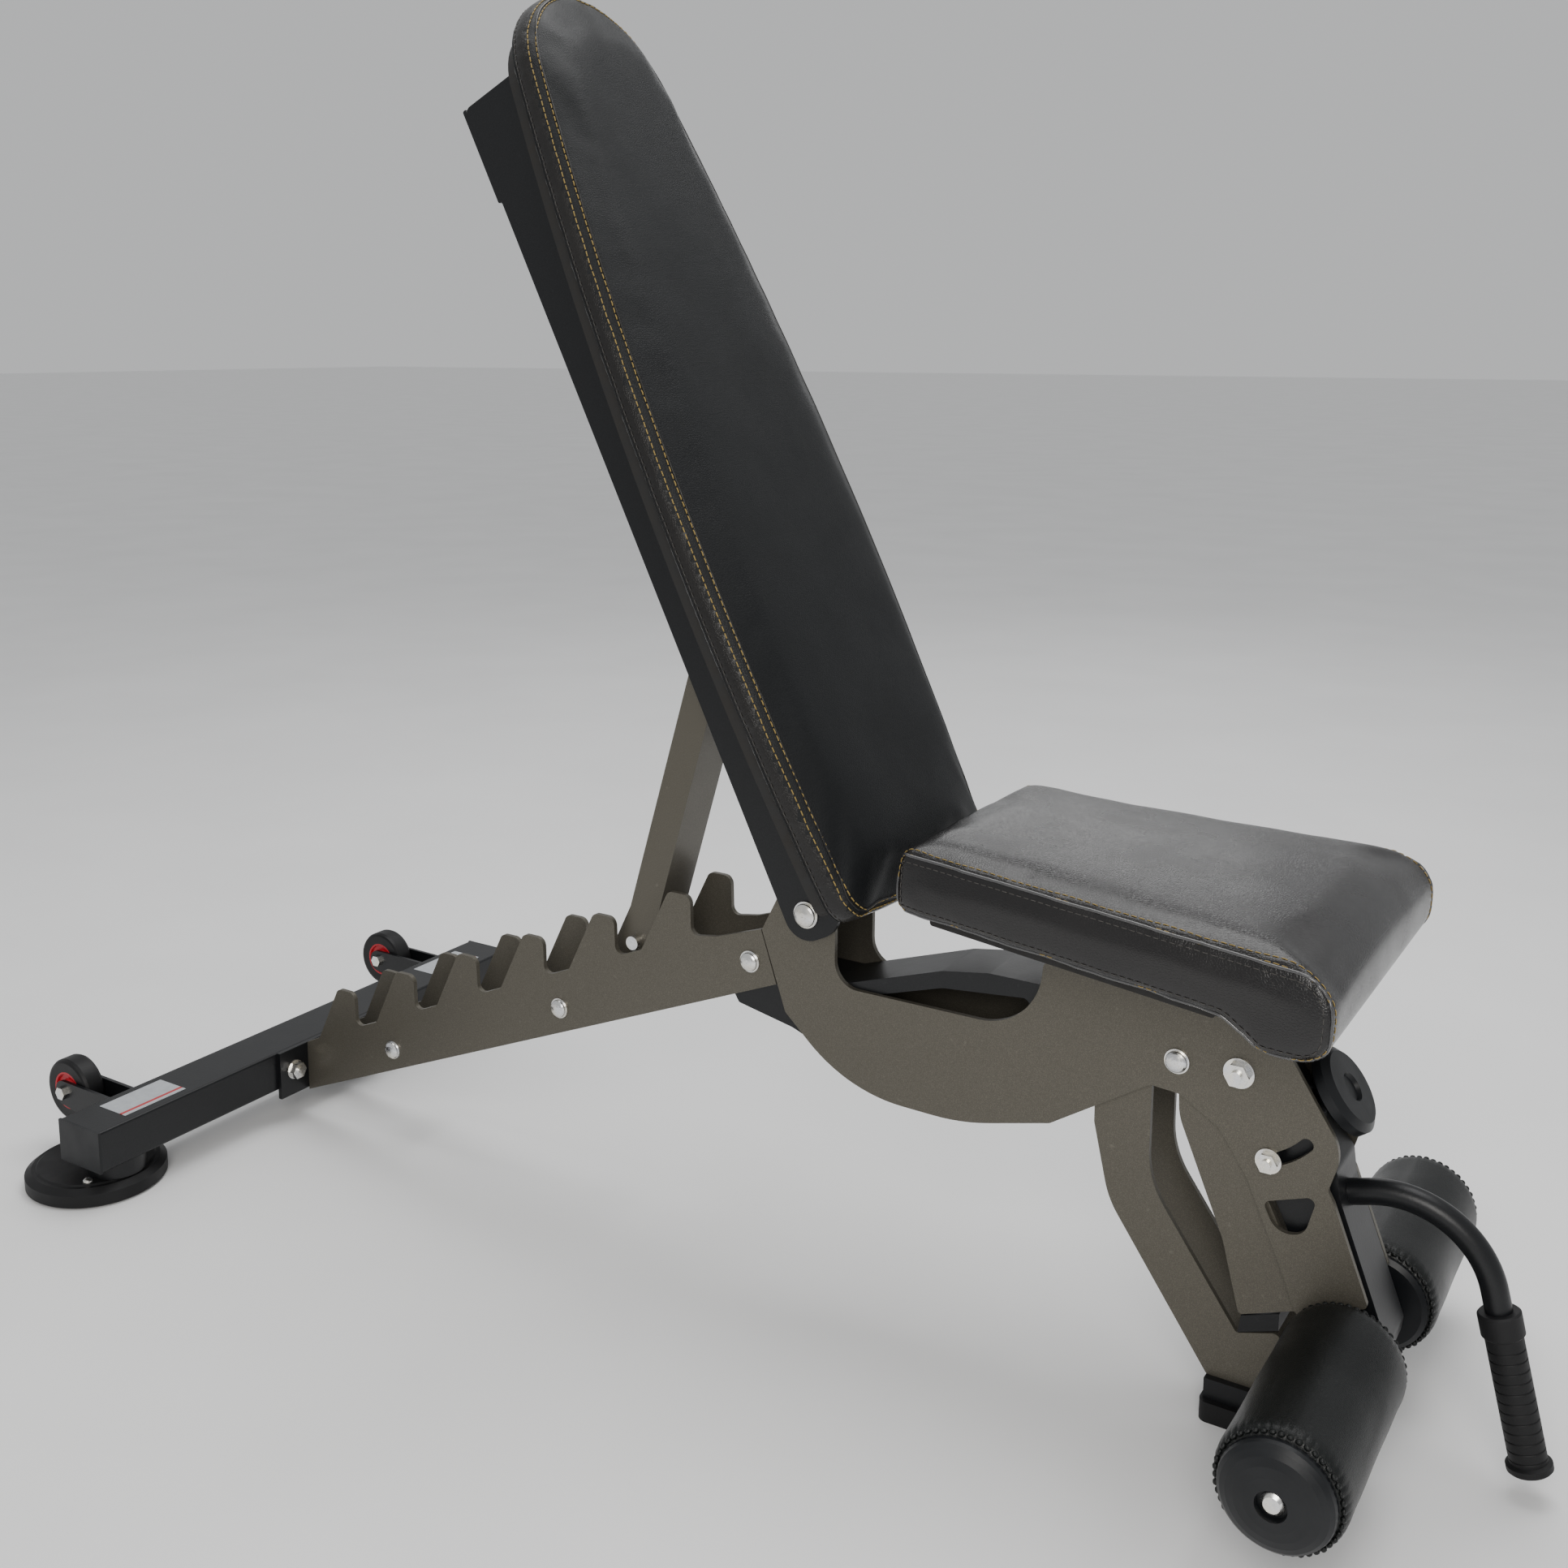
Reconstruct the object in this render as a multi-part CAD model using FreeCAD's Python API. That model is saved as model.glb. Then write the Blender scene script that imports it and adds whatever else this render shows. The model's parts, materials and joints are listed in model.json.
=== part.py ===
"""Adjustable weight bench with a laddered rear leg, a hinged back pad, a fixed seat and a swinging leg hold.

Axes: +X from the rear beam towards the leg rollers, +Y to the left, +Z up, the floor at z = 0.
Frame drawings below measure x from the front face of the rear beam. Every finished shape is then moved
so that the origin lies on the floor under the middle of the whole bench.
"""
import FreeCAD, Part
import os
from math import atan2, cos, degrees, radians, sin, sqrt, tan

V = FreeCAD.Vector
os.makedirs("parts", exist_ok=True)

# ---------------------------------------------------------------- plates, gaps and fits
PLATE = 5.0                 # laser-cut side plates
FRAME_HALF = 38.4           # outer faces of the ladder and main plates
MAIN_IN = FRAME_HALF - PLATE
LEG_OUT = MAIN_IN           # leg plates lie against the inside of the main plates
LEG_IN = LEG_OUT - PLATE
SIDE_GAP = 0.6              # side play between a moving member and a fixed plate
RUN = 0.05                  # radial running clearance of pins in their holes
TOUCH_GAP = 0.5             # clearance of pieces that pass each other without bearing

# ---------------------------------------------------------------- rear beam, feet and wheels
BEAM_LENGTH = 630.0
BEAM_DEPTH = 65.0
BEAM_HEIGHT = 45.0
BEAM_WALL = 3.0
FOOT_RADIUS = 72.0
FOOT_HEIGHT = 22.0
FOOT_POST_HEIGHT = 18.0
FOOT_POST_RADIUS = 30.0
FOOT_INSET = 40.0           # disc centre from the end of the beam
FOOT_SETBACK = 67.0         # disc centre behind the front face of the beam
BEAM_BOTTOM = FOOT_HEIGHT + FOOT_POST_HEIGHT
BEAM_TOP = BEAM_BOTTOM + BEAM_HEIGHT
WHEEL_RADIUS = 35.0
WHEEL_WIDTH = 24.0
WHEEL_HUB_RADIUS = 21.0
WHEEL_X = -143.0
WHEEL_Y = 240.0
WHEEL_Z = 71.0
WHEEL_BORE = 5.0
EAR_THICK = 4.0
EAR_GAP = 1.0               # between a wheel's side and its bracket ear
LABEL_LENGTH = 78.0
LABEL_WIDTH = 42.0
LABEL_THICK = 0.4
LABEL_INSET = 39.0             # from the end of the beam

# ---------------------------------------------------------------- ladder plates
FLANGE_HALF = 80.0
FLANGE_THICK = 5.0
FLANGE_BOLT_Y = 59.5
TOOTH_COUNT = 6
TOOTH_FIRST = (72.0, 160.0)
TOOTH_STEP = (92.4, 39.8)
SEAM_X = 628.0
SEAM_Z = 342.0
SEAM_GAP = 1.0
LADDER_BOLTS = ((143.0, 108.0), (383.0, 210.0), (616.0, 308.0))
LADDER_PIN = 5.0
SPACER_RADIUS = 9.0
FRAME_BOLT = (1031.0, 307.0)
SPINE_NOTCH_RADIUS = 15.0      # room in the joining box for the ladder's top bolt

# ---------------------------------------------------------------- backrest
HINGE = (681.0, 368.0)
BACK_ANGLE = 64.0           # incline of the back pad from the floor at rest
HINGE_PIN = 6.0
RAIL_THICK = 5.0
RAIL_REAR = -25.0           # rear edge of the rails, from the hinge, along the pad's normal
RAIL_FRONT = 64.0
RAIL_TOP = 834.0
BOARD_THICK = 15.0
PAD_BASE = RAIL_FRONT + BOARD_THICK
BACK_EDGE = 31.0            # height of the back pad's side panel
BACK_CROWN = 10.0
BACK_LOW = -15.0
BACK_HIGH = 886.0
BACK_HALF_LOW = 137.0
BACK_HALF_MID = 152.0
BACK_HALF_HIGH = 103.0
BACK_MID_U = 300.0
BACK_SHOULDER_U = 803.0
BOARD_INSET = 16.0
STRAP_AT = (110.0, 500.0, 800.0)
STRAP_HALF = 25.0
STRAP_THICK = 5.0
TIE_U = (88.0, 130.0)
TIE_THICK = 4.0
HEAD_PLATE_LENGTH = 98.0
HEAD_PLATE_THICK = 4.0

# ---------------------------------------------------------------- strut
STRUT_PIN_AT = (472.0, 295.5)
STRUT_PIN_RADIUS = 7.0
STRUT_TOP_UN = (296.0, 28.0)    # top pivot: along the back pad and along its normal, from the hinge
STRUT_DEPTH = 33.0
STRUT_WIDTH = 50.0
STRUT_WALL = 3.0
STRUT_PIVOT_PIN = 6.0

# ---------------------------------------------------------------- seat
SEAT_REAR = 814.0
SEAT_FRONT = 1184.0
SEAT_TOP_REAR = 473.0
SEAT_SLOPE = 3.6            # degrees, nose down
SEAT_THICK = 52.0
SEAT_HALF_REAR = 128.0
SEAT_HALF_FRONT = 172.0
SEAT_NOSE_DROP = 34.0
SEAT_BOARD_THICK = 12.0
SEAT_BRACKET_X = (930.0, 1042.0)
SEAT_BRACKET_LOW = 343.0
SEAT_BRACKET_WALL = 4.0
SEAT_SADDLE_X = (SEAT_BRACKET_X[0] - 40, SEAT_BRACKET_X[1] + 20)
SEAT_SADDLE_HALF = 75.0

# ---------------------------------------------------------------- leg hold, handle and rollers
HOLD_PIVOT = (1082.0, 309.0)
HOLD_GUIDE = (1109.0, 241.0)
HOLD_SWING = 28.0           # degrees
HOLD_PIN = 6.0
GUIDE_PIN = 5.0
POST_HALF = LEG_IN - SIDE_GAP
POST_WALL = 4.0
POST_SLOPE = ((1160.0, 240.0), (1094.0, 331.0))    # sloped front of the post, under the knob
AXLE_AT = (1180.0, 99.0)
AXLE_RADIUS = 10.0
ROLLER_RADIUS = 48.0
ROLLER_IN = FRAME_HALF + 10.6    # the inner caps clear the main plates
ROLLER_OUT = 240.0
CAP_HEIGHT = 16.5
CAP_FLANGE = 6.0
HANDLE_RADIUS = 10.5
HANDLE_WALL = 2.0
HANDLE_FROM = (1165.0, 213.4)
HANDLE_CORNER = (1257.0, 240.0)
HANDLE_END = (1312.0, 23.0)
HANDLE_BEND = 77.0
GRIP_LENGTH = 128.0
GRIP_RADIUS = 14.5
GRIP_COLLAR = 16.5
GRIP_FLANGE = 17.5
GRIP_RIBS = 12
KNOB_FOOT = (1131.0, 280.0)
KNOB_RADIUS = 36.0
KNOB_THICK = 16.0
KNOB_STANDOFF = 22.0
PLUNGER = 5.0

# ---------------------------------------------------------------- front foot
FOOT_BAR_HALF = 40.0
FOOT_PAD_HALF = 46.0
FOOT_PAD_HEIGHT = 18.0

GRIP_LEAN = atan2(HANDLE_END[0] - HANDLE_CORNER[0], HANDLE_CORNER[1] - HANDLE_END[1])
X_LOW = WHEEL_X - WHEEL_RADIUS
X_HIGH = HANDLE_END[0] + GRIP_FLANGE * cos(GRIP_LEAN)
X_CENTRE = (X_LOW + X_HIGH) / 2


# ================================================================ helpers
def rounded_wire(points, place=lambda a, b: V(a, 0, b)):
    """Closed outline through corners (a, b, radius); each corner is rounded by its own radius."""
    corners = [place(a, b) for a, b, _ in points]
    edges = []
    joints = []
    for index, (_, _, radius) in enumerate(points):
        here = corners[index]
        back = (corners[index - 1] - here).normalize()
        ahead = (corners[(index + 1) % len(points)] - here).normalize()
        if radius == 0:
            joints.append((here, here, None))
            continue
        half = back.getAngle(ahead) / 2
        reach = radius / tan(half)
        centre = here + (back + ahead).normalize() * (radius / sin(half))
        middle = centre + (here - centre).normalize() * radius
        joints.append((here + back * reach, here + ahead * reach, middle))
    for index, (start, end, middle) in enumerate(joints):
        if middle is not None:
            edges.append(Part.Arc(start, middle, end).toShape())
        following = joints[(index + 1) % len(joints)][0]
        if end.distanceToPoint(following) > 1e-6:
            edges.append(Part.LineSegment(end, following).toShape())
    return Part.Wire(edges)


def plate(points, y_low, y_high):
    """Outline in the XZ plane, extruded from y_low to y_high."""
    face = Part.Face(rounded_wire(points))
    face.translate(V(0, y_low, 0))
    return face.extrude(V(0, y_high - y_low, 0))


def box(x_range, y_range, z_range):
    size = [high - low for low, high in (x_range, y_range, z_range)]
    return Part.makeBox(*size, V(x_range[0], y_range[0], z_range[0]))


def rod(at, radius, y_low, y_high):
    """Round bar along Y at (x, z)."""
    return Part.makeCylinder(radius, y_high - y_low, V(at[0], y_low, at[1]), V(0, 1, 0))


def tube(at, outer, inner, y_low, y_high):
    return rod(at, outer, y_low, y_high).cut(rod(at, inner, y_low - 1, y_high + 1))


def mirrored(shape):
    return shape.mirror(V(0, 0, 0), V(0, 1, 0))


def both_sides(shape):
    return Part.makeCompound([shape, mirrored(shape)])


def turned(profile, base, axis):
    """Solid of revolution. The profile lists (distance along the axis, radius)."""
    points = [V(r, 0, h) for h, r in profile]
    solid = Part.Face(Part.makePolygon(points + points[:1])).revolve(V(0, 0, 0), V(0, 0, 1), 360)
    solid.Placement = FreeCAD.Placement(base, FreeCAD.Rotation(V(0, 0, 1), axis))
    return solid


def dome_head(radius, height):
    """Profile of a domed screw head standing on h = 0, as (h, radius) pairs from the axis outwards."""
    steps = 5
    rim = [(0, 0), (0, radius), (height * 0.3, radius)]
    arc = []
    for step in range(1, steps + 1):
        turn = radians(90 * step / steps)
        arc.append((height * (0.3 + 0.7 * sin(turn)), radius * cos(turn)))
    return rim + arc[:-1] + [(height, 0)]


def hexagon(at, y, out, width, height):
    """Hex head or nut on the plane y, growing in the direction out (+1 or -1)."""
    corner = width / sqrt(3)
    points = [V(at[0] + corner * cos(radians(60 * k)), y, at[1] + corner * sin(radians(60 * k)))
              for k in range(6)]
    return Part.Face(Part.makePolygon(points + points[:1])).extrude(V(0, out * height, 0))


def through_bolt(at, pin, face, head="dome"):
    """Bolt along Y through two plates whose outer faces lie at +-face, with a head or nut at each end."""
    body = rod(at, pin, -face, face)
    for side in (-1, 1):
        seat = V(at[0], side * face, at[1])
        out = V(0, side, 0)
        washer = turned([(0, 0), (0, pin * 2.1), (1.6, pin * 2.1), (1.6, 0)], seat, out)
        if head == "dome":
            crown = turned([(h + 1.6, r) for h, r in dome_head(pin * 1.85, pin * 1.0)], seat, out)
        else:
            crown = hexagon(at, side * (face + 1.6), side, pin * 3.0, pin * 1.2)
            crown = crown.fuse(rod(at, pin * 0.8, *sorted((side * face, side * (face + pin * 2.0)))))
        body = body.fuse([washer, crown])
    return body.removeSplitter()


def back_point(u, n):
    """Point of the tilted backrest: u along the pad, n along its normal, both from the hinge."""
    lean = radians(BACK_ANGLE)
    return (HINGE[0] - u * cos(lean) + n * sin(lean), HINGE[1] + u * sin(lean) + n * cos(lean))


def back_plate(points, y_low, y_high):
    """Outline in the backrest's (u, n) plane, extruded across the bench."""
    face = Part.Face(rounded_wire(points, lambda u, n: V(back_point(u, n)[0], 0, back_point(u, n)[1])))
    face.translate(V(0, y_low, 0))
    return face.extrude(V(0, y_high - y_low, 0))


def at_back(u, y, n):
    x, z = back_point(u, n)
    return V(x, y, z)


def back_slab(inset, n_low, n_high, corner):
    """Slab of the back pad's plan, drawn in by inset: bowed sides, a round top end, rounded low corners."""
    def at(u, y):
        return at_back(u, y, n_low)
    half_low = BACK_HALF_LOW - inset
    half_mid = BACK_HALF_MID - inset
    half_high = BACK_HALF_HIGH - inset
    u_low = BACK_LOW + inset
    u_high = BACK_HIGH - inset
    shoulder = BACK_SHOULDER_U
    side = Part.Arc(at(u_low, half_low), at(BACK_MID_U, half_mid), at(shoulder, half_high)).toShape()
    top = Part.Arc(at(shoulder, half_high), at(u_high, 0), at(shoulder, -half_high)).toShape()
    other = Part.Arc(at(shoulder, -half_high), at(BACK_MID_U, -half_mid), at(u_low, -half_low)).toShape()
    end = Part.LineSegment(at(u_low, -half_low), at(u_low, half_low)).toShape()
    low = at_back(0, 0, n_low)
    high = at_back(0, 0, n_high)
    slab = Part.Face(Part.Wire([side, top, other, end])).extrude(high - low)
    upright = [edge for edge in slab.Edges
               if edge.Length < (high - low).Length * 1.01
               and abs((edge.Vertexes[0].Point - edge.Vertexes[-1].Point).y) < 1e-6
               and back_u(edge.Vertexes[0].Point) < u_low + 1]
    return slab.makeFillet(corner, upright)


def back_u(point):
    lean = radians(BACK_ANGLE)
    return -(point.x - HINGE[0]) * cos(lean) + (point.z - HINGE[1]) * sin(lean)


# ================================================================ rear beam, feet and wheels
def rear_beam():
    half = BEAM_LENGTH / 2
    outer = box((-BEAM_DEPTH, 0), (-half, half), (BEAM_BOTTOM, BEAM_TOP))
    along = [edge for edge in outer.Edges if abs(edge.Length - BEAM_LENGTH) < 1e-6]
    outer = outer.makeFillet(BEAM_WALL, along)
    inner = box((-BEAM_DEPTH + BEAM_WALL, -BEAM_WALL), (-half - 1, half + 1),
                (BEAM_BOTTOM + BEAM_WALL, BEAM_TOP - BEAM_WALL))
    beam = outer.cut(inner)
    for side in (-1, 1):
        hole = Part.makeCylinder(5, BEAM_WALL * 3, V(-BEAM_WALL * 2, side * FLANGE_BOLT_Y, flange_bolt_z()),
                                 V(1, 0, 0))
        beam = beam.cut(hole)
    return beam


def flange_bolt_z():
    return BEAM_BOTTOM + BEAM_HEIGHT * 0.44


def beam_end_caps():
    half = BEAM_LENGTH / 2
    lip = box((-BEAM_DEPTH, 0), (half, half + 3), (BEAM_BOTTOM, BEAM_TOP))
    plug = box((-BEAM_DEPTH + BEAM_WALL, -BEAM_WALL), (half - 18, half),
               (BEAM_BOTTOM + BEAM_WALL, BEAM_TOP - BEAM_WALL))
    return both_sides(lip.fuse(plug).removeSplitter())


def foot_y():
    return BEAM_LENGTH / 2 - FOOT_INSET


def foot_posts():
    centre = V(-BEAM_DEPTH / 2, foot_y(), FOOT_HEIGHT)
    return both_sides(Part.makeCylinder(FOOT_POST_RADIUS, FOOT_POST_HEIGHT, centre))


def disc_feet():
    rim = FOOT_HEIGHT * 0.7
    profile = [(0, 0), (0, FOOT_RADIUS - 4), (3, FOOT_RADIUS), (rim, FOOT_RADIUS),
               (FOOT_HEIGHT - 1.5, FOOT_RADIUS - 7), (FOOT_HEIGHT - 1.5, FOOT_RADIUS - 11),
               (FOOT_HEIGHT, FOOT_RADIUS - 13), (FOOT_HEIGHT, 0)]
    return both_sides(turned(profile, V(-FOOT_SETBACK, foot_y(), 0), V(0, 0, 1)))


def foot_bolts():
    beside_post = FOOT_POST_RADIUS + 8
    seat = V(-BEAM_DEPTH / 2 + 3, foot_y() + beside_post, FOOT_HEIGHT)
    return both_sides(turned(dome_head(5, 4), seat, V(0, 0, 1)))


def wheel_sides():
    return WHEEL_Y - WHEEL_WIDTH / 2, WHEEL_Y + WHEEL_WIDTH / 2


def wheel_brackets():
    """A fork of two ears behind the beam for each wheel."""
    inner, outer = wheel_sides()
    ear = [(-BEAM_DEPTH, BEAM_BOTTOM + 4, 0), (-BEAM_DEPTH, BEAM_TOP - 2, 0),
           (WHEEL_X - 13, WHEEL_Z + 13, 12), (WHEEL_X - 13, WHEEL_Z - 13, 12)]
    shapes = []
    for low in (inner - EAR_GAP - EAR_THICK, outer + EAR_GAP):
        blade = plate(ear, low, low + EAR_THICK)
        shapes.append(blade.cut(rod((WHEEL_X, WHEEL_Z), WHEEL_BORE, low - 1, low + EAR_THICK + 1)))
    return Part.makeCompound([both_sides(shape) for shape in shapes])


def wheel_axles():
    inner, outer = wheel_sides()
    reach = EAR_GAP + EAR_THICK
    pin = rod((WHEEL_X, WHEEL_Z), WHEEL_BORE, inner - reach, outer + reach)
    for y, out in ((inner - reach, -1), (outer + reach, 1)):
        pin = pin.fuse(hexagon((WHEEL_X, WHEEL_Z), y, out, 13.0, 5.0))
    return both_sides(pin.removeSplitter())


def wheel_hub():
    inner, outer = wheel_sides()
    lip = 3.0
    profile = [(0, WHEEL_BORE + RUN), (0, 11), (lip, 13), (lip, WHEEL_HUB_RADIUS - 3), (0, WHEEL_HUB_RADIUS - 2),
               (0, WHEEL_HUB_RADIUS), (WHEEL_WIDTH, WHEEL_HUB_RADIUS), (WHEEL_WIDTH, WHEEL_HUB_RADIUS - 2),
               (WHEEL_WIDTH - lip, WHEEL_HUB_RADIUS - 3), (WHEEL_WIDTH - lip, 13), (WHEEL_WIDTH, 11),
               (WHEEL_WIDTH, WHEEL_BORE + RUN)]
    return turned(profile, V(WHEEL_X, inner, WHEEL_Z), V(0, 1, 0))


def wheel_tyre():
    inner, outer = wheel_sides()
    bevel = 4.0
    profile = [(0, WHEEL_HUB_RADIUS), (0, WHEEL_RADIUS - bevel), (1, WHEEL_RADIUS - 1.5), (bevel, WHEEL_RADIUS),
               (WHEEL_WIDTH - bevel, WHEEL_RADIUS), (WHEEL_WIDTH - 1, WHEEL_RADIUS - 1.5),
               (WHEEL_WIDTH, WHEEL_RADIUS - bevel), (WHEEL_WIDTH, WHEEL_HUB_RADIUS)]
    return turned(profile, V(WHEEL_X, inner, WHEEL_Z), V(0, 1, 0))


def beam_labels():
    middle = -BEAM_DEPTH / 2
    end = BEAM_LENGTH / 2 - LABEL_INSET
    return both_sides(box((middle - LABEL_WIDTH / 2, middle + LABEL_WIDTH / 2), (end - LABEL_LENGTH, end),
                          (BEAM_TOP, BEAM_TOP + LABEL_THICK)))


# ================================================================ ladder
def ladder_flange():
    z_low = BEAM_BOTTOM - 10
    flange = box((0, FLANGE_THICK), (-FLANGE_HALF, FLANGE_HALF), (z_low, BEAM_TOP))
    for side in (-1, 1):
        hole = Part.makeCylinder(5, FLANGE_THICK * 3, V(-FLANGE_THICK, side * FLANGE_BOLT_Y, flange_bolt_z()),
                                 V(1, 0, 0))
        flange = flange.cut(hole)
    return flange


def flange_bolts():
    at = V(-BEAM_WALL, FLANGE_BOLT_Y, flange_bolt_z())
    shank = Part.makeCylinder(5, BEAM_WALL + FLANGE_THICK + 12, at, V(1, 0, 0))
    inner_head = Part.makeCylinder(8, 5, at + V(-5, 0, 0), V(1, 0, 0))
    face = V(FLANGE_THICK, FLANGE_BOLT_Y, flange_bolt_z())
    washer = Part.makeCylinder(11, 1.6, face, V(1, 0, 0))
    corners = [face + V(1.6, 9.8 * cos(radians(60 * k)), 9.8 * sin(radians(60 * k))) for k in range(6)]
    nut = Part.Face(Part.makePolygon(corners + corners[:1])).extrude(V(8, 0, 0))
    return both_sides(shank.fuse([inner_head, washer, nut]).removeSplitter())


def tooth_tip(index):
    return (TOOTH_FIRST[0] + TOOTH_STEP[0] * index, TOOTH_FIRST[1] + TOOTH_STEP[1] * index)


def ladder_outline():
    """Bottom edge, seam, and a row of hooked teeth with a sloping back and an upright front."""
    points = [(FLANGE_THICK, 27, 0), (SEAM_X + 17, SEAM_Z - 51, 0), (SEAM_X, SEAM_Z, 0)]
    for index in reversed(range(TOOTH_COUNT)):
        x, z = tooth_tip(index)
        if index == TOOTH_COUNT - 1:
            points.append((x + 44, z - 34, 12))
        points += [(x + 14, z - 39, 8), (x + 13, z + 1, 9), (x - 13, z + 1, 8),
                   (x - 46, z - 65, 8)]
    return points + [(FLANGE_THICK, BEAM_TOP, 0)]


def ladder_plate():
    shape = plate(ladder_outline(), MAIN_IN, FRAME_HALF)
    for at in LADDER_BOLTS:
        shape = shape.cut(rod(at, LADDER_PIN, MAIN_IN - 1, FRAME_HALF + 1))
    return shape


def ladder_bolts():
    return Part.makeCompound([through_bolt(at, LADDER_PIN, FRAME_HALF) for at in LADDER_BOLTS])


def ladder_spacers():
    tubes = [tube(at, SPACER_RADIUS, LADDER_PIN, -MAIN_IN, MAIN_IN) for at in LADDER_BOLTS[:2]]
    return Part.makeCompound(tubes)


# ================================================================ main frame


def spine_box():
    """Folded joining box between the main plates, reaching back between the ladder plates."""
    outer = plate([(592, 275, 4), (600, 262, 4), (660, 250, 20), (735, 222, 60), (850, 214, 60),
                   (915, 240, 10), (912, 345, 6), (860, 345, 20), (815, 338, 30), (700, 300, 20),
                   (592, 300, 4)], -MAIN_IN, MAIN_IN)
    outer = outer.cut(rod(LADDER_BOLTS[2], SPINE_NOTCH_RADIUS, -MAIN_IN - 1, MAIN_IN + 1))
    core = plate([(680, 262, 10), (745, 238, 40), (845, 228, 40), (900, 250, 10), (898, 330, 6),
                  (815, 322, 30), (706, 288, 10)], -MAIN_IN - 1, MAIN_IN + 1)
    return outer.cut(core)


def main_outline():
    low = SEAM_X + SEAM_GAP
    return [(low, SEAM_Z, 0), (low + 26, SEAM_Z - 76, 4), (722, 204, 150), (838, 202, 200), (922, 224, 6),
            (1009, 281, 6), (1034, 279, 8), (1068, 258, 20), (1092, 222, 40), (1122, 154, 40), (1137, 115, 4),
            (1192, 139, 4), (1161, 219, 5), (1156, 228, 5), (1166, 262, 36), (1122, 331, 16), (1083, 350, 12),
            (912, 368, 5), (907, 303, 58), (708, 303, 24), (708, 388, 22), (652, 388, 20)]


def guide_slot(y_low, y_high):
    """Curved slot about the leg-hold pivot, as long as its swing."""
    dx = HOLD_GUIDE[0] - HOLD_PIVOT[0]
    dz = HOLD_GUIDE[1] - HOLD_PIVOT[1]
    radius = sqrt(dx * dx + dz * dz)
    start = degrees(atan2(dz, dx))
    half = GUIDE_PIN + TOUCH_GAP
    ring = tube(HOLD_PIVOT, radius + half, radius - half, y_low, y_high)
    reach = radius * 2
    turns = [radians(start + HOLD_SWING * share) for share in (0, 0.5, 1)]
    fan = [V(HOLD_PIVOT[0], y_low, HOLD_PIVOT[1])]
    fan += [V(HOLD_PIVOT[0] + reach * cos(t), y_low, HOLD_PIVOT[1] + reach * sin(t)) for t in turns]
    wedge = Part.Face(Part.makePolygon(fan + fan[:1])).extrude(V(0, y_high - y_low, 0))
    slot = ring.common(wedge)
    for turn in (turns[0], turns[-1]):
        end = (HOLD_PIVOT[0] + radius * cos(turn), HOLD_PIVOT[1] + radius * sin(turn))
        slot = slot.fuse(rod(end, half, y_low, y_high))
    return slot


def lightening_hole(y_low, y_high):
    return plate([(1106, 205, 5), (1149, 221, 5), (1140, 186, 14), (1118, 180, 16)], y_low, y_high)


def main_plate():
    shape = plate(main_outline(), MAIN_IN, FRAME_HALF)
    for at, radius in ((HINGE, HINGE_PIN), (FRAME_BOLT, LADDER_PIN), (HOLD_PIVOT, HOLD_PIN)):
        shape = shape.cut(rod(at, radius, MAIN_IN - 1, FRAME_HALF + 1))
    shape = shape.cut(guide_slot(MAIN_IN - 1, FRAME_HALF + 1))
    return shape.cut(lightening_hole(MAIN_IN - 1, FRAME_HALF + 1))


def frame_bolts():
    return through_bolt(FRAME_BOLT, LADDER_PIN, FRAME_HALF)


def hinge_bolt():
    """Backrest pivot: a plain pin through both main plates and both rails, with a domed head each side."""
    face = FRAME_HALF + SIDE_GAP + RAIL_THICK + TOUCH_GAP
    return through_bolt(HINGE, HINGE_PIN, face)


def hinge_spacer():
    return tube(HINGE, 14.0, HINGE_PIN, -MAIN_IN, MAIN_IN)


def leg_plate():
    """Wishbone leg: a long bowed member down to the foot and a shorter branch up the front."""
    outline = [(960, 234, 4), (975, 168, 80), (1066, FOOT_PAD_HEIGHT + 18, 3),
               (1106, FOOT_PAD_HEIGHT + 18, 4), (1130, 94, 6), (1089, 81, 3), (1009, 195, 80), (1009, 296, 8),
               (1031, 296, 8), (1033, 258, 50), (1074, 160, 50), (1090, 98, 3), (1149, 121, 3), (1094, 236, 20),
               (1062, 272, 10), (1060, 332, 14), (985, 332, 20), (960, 252, 6)]
    shape = plate(outline, LEG_IN, LEG_OUT)
    return shape.cut(rod(FRAME_BOLT, LADDER_PIN, LEG_IN - 1, LEG_OUT + 1))


def leg_crossbar():
    """Bar across the leg plates that closes the gap under the front branch."""
    bar = [(1090, 82, 0), (1123, 94, 0), (1123, 109, 0), (1092, 97.5, 0)]
    return plate(bar, -LEG_IN, LEG_IN).fuse([plate(bar, LEG_IN, LEG_OUT), plate(bar, -LEG_OUT, -LEG_IN)]) \
        .removeSplitter().cut(leg_plate()).cut(mirrored(leg_plate()))


def front_foot_bar():
    return box((1066, 1106), (-FOOT_BAR_HALF, FOOT_BAR_HALF), (FOOT_PAD_HEIGHT, FOOT_PAD_HEIGHT + 18))


def front_foot_pads():
    pad = box((1063, 1110), (12, FOOT_PAD_HALF), (0, FOOT_PAD_HEIGHT))
    upright = [edge for edge in pad.Edges if abs(edge.Length - FOOT_PAD_HEIGHT) < 1e-6]
    pad = pad.makeFillet(8, upright)
    return both_sides(pad)


# ================================================================ seat
def seat_height(x):
    """Level of the seat pad's top at x."""
    return SEAT_TOP_REAR - (x - SEAT_REAR) * tan(radians(SEAT_SLOPE))


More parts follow.
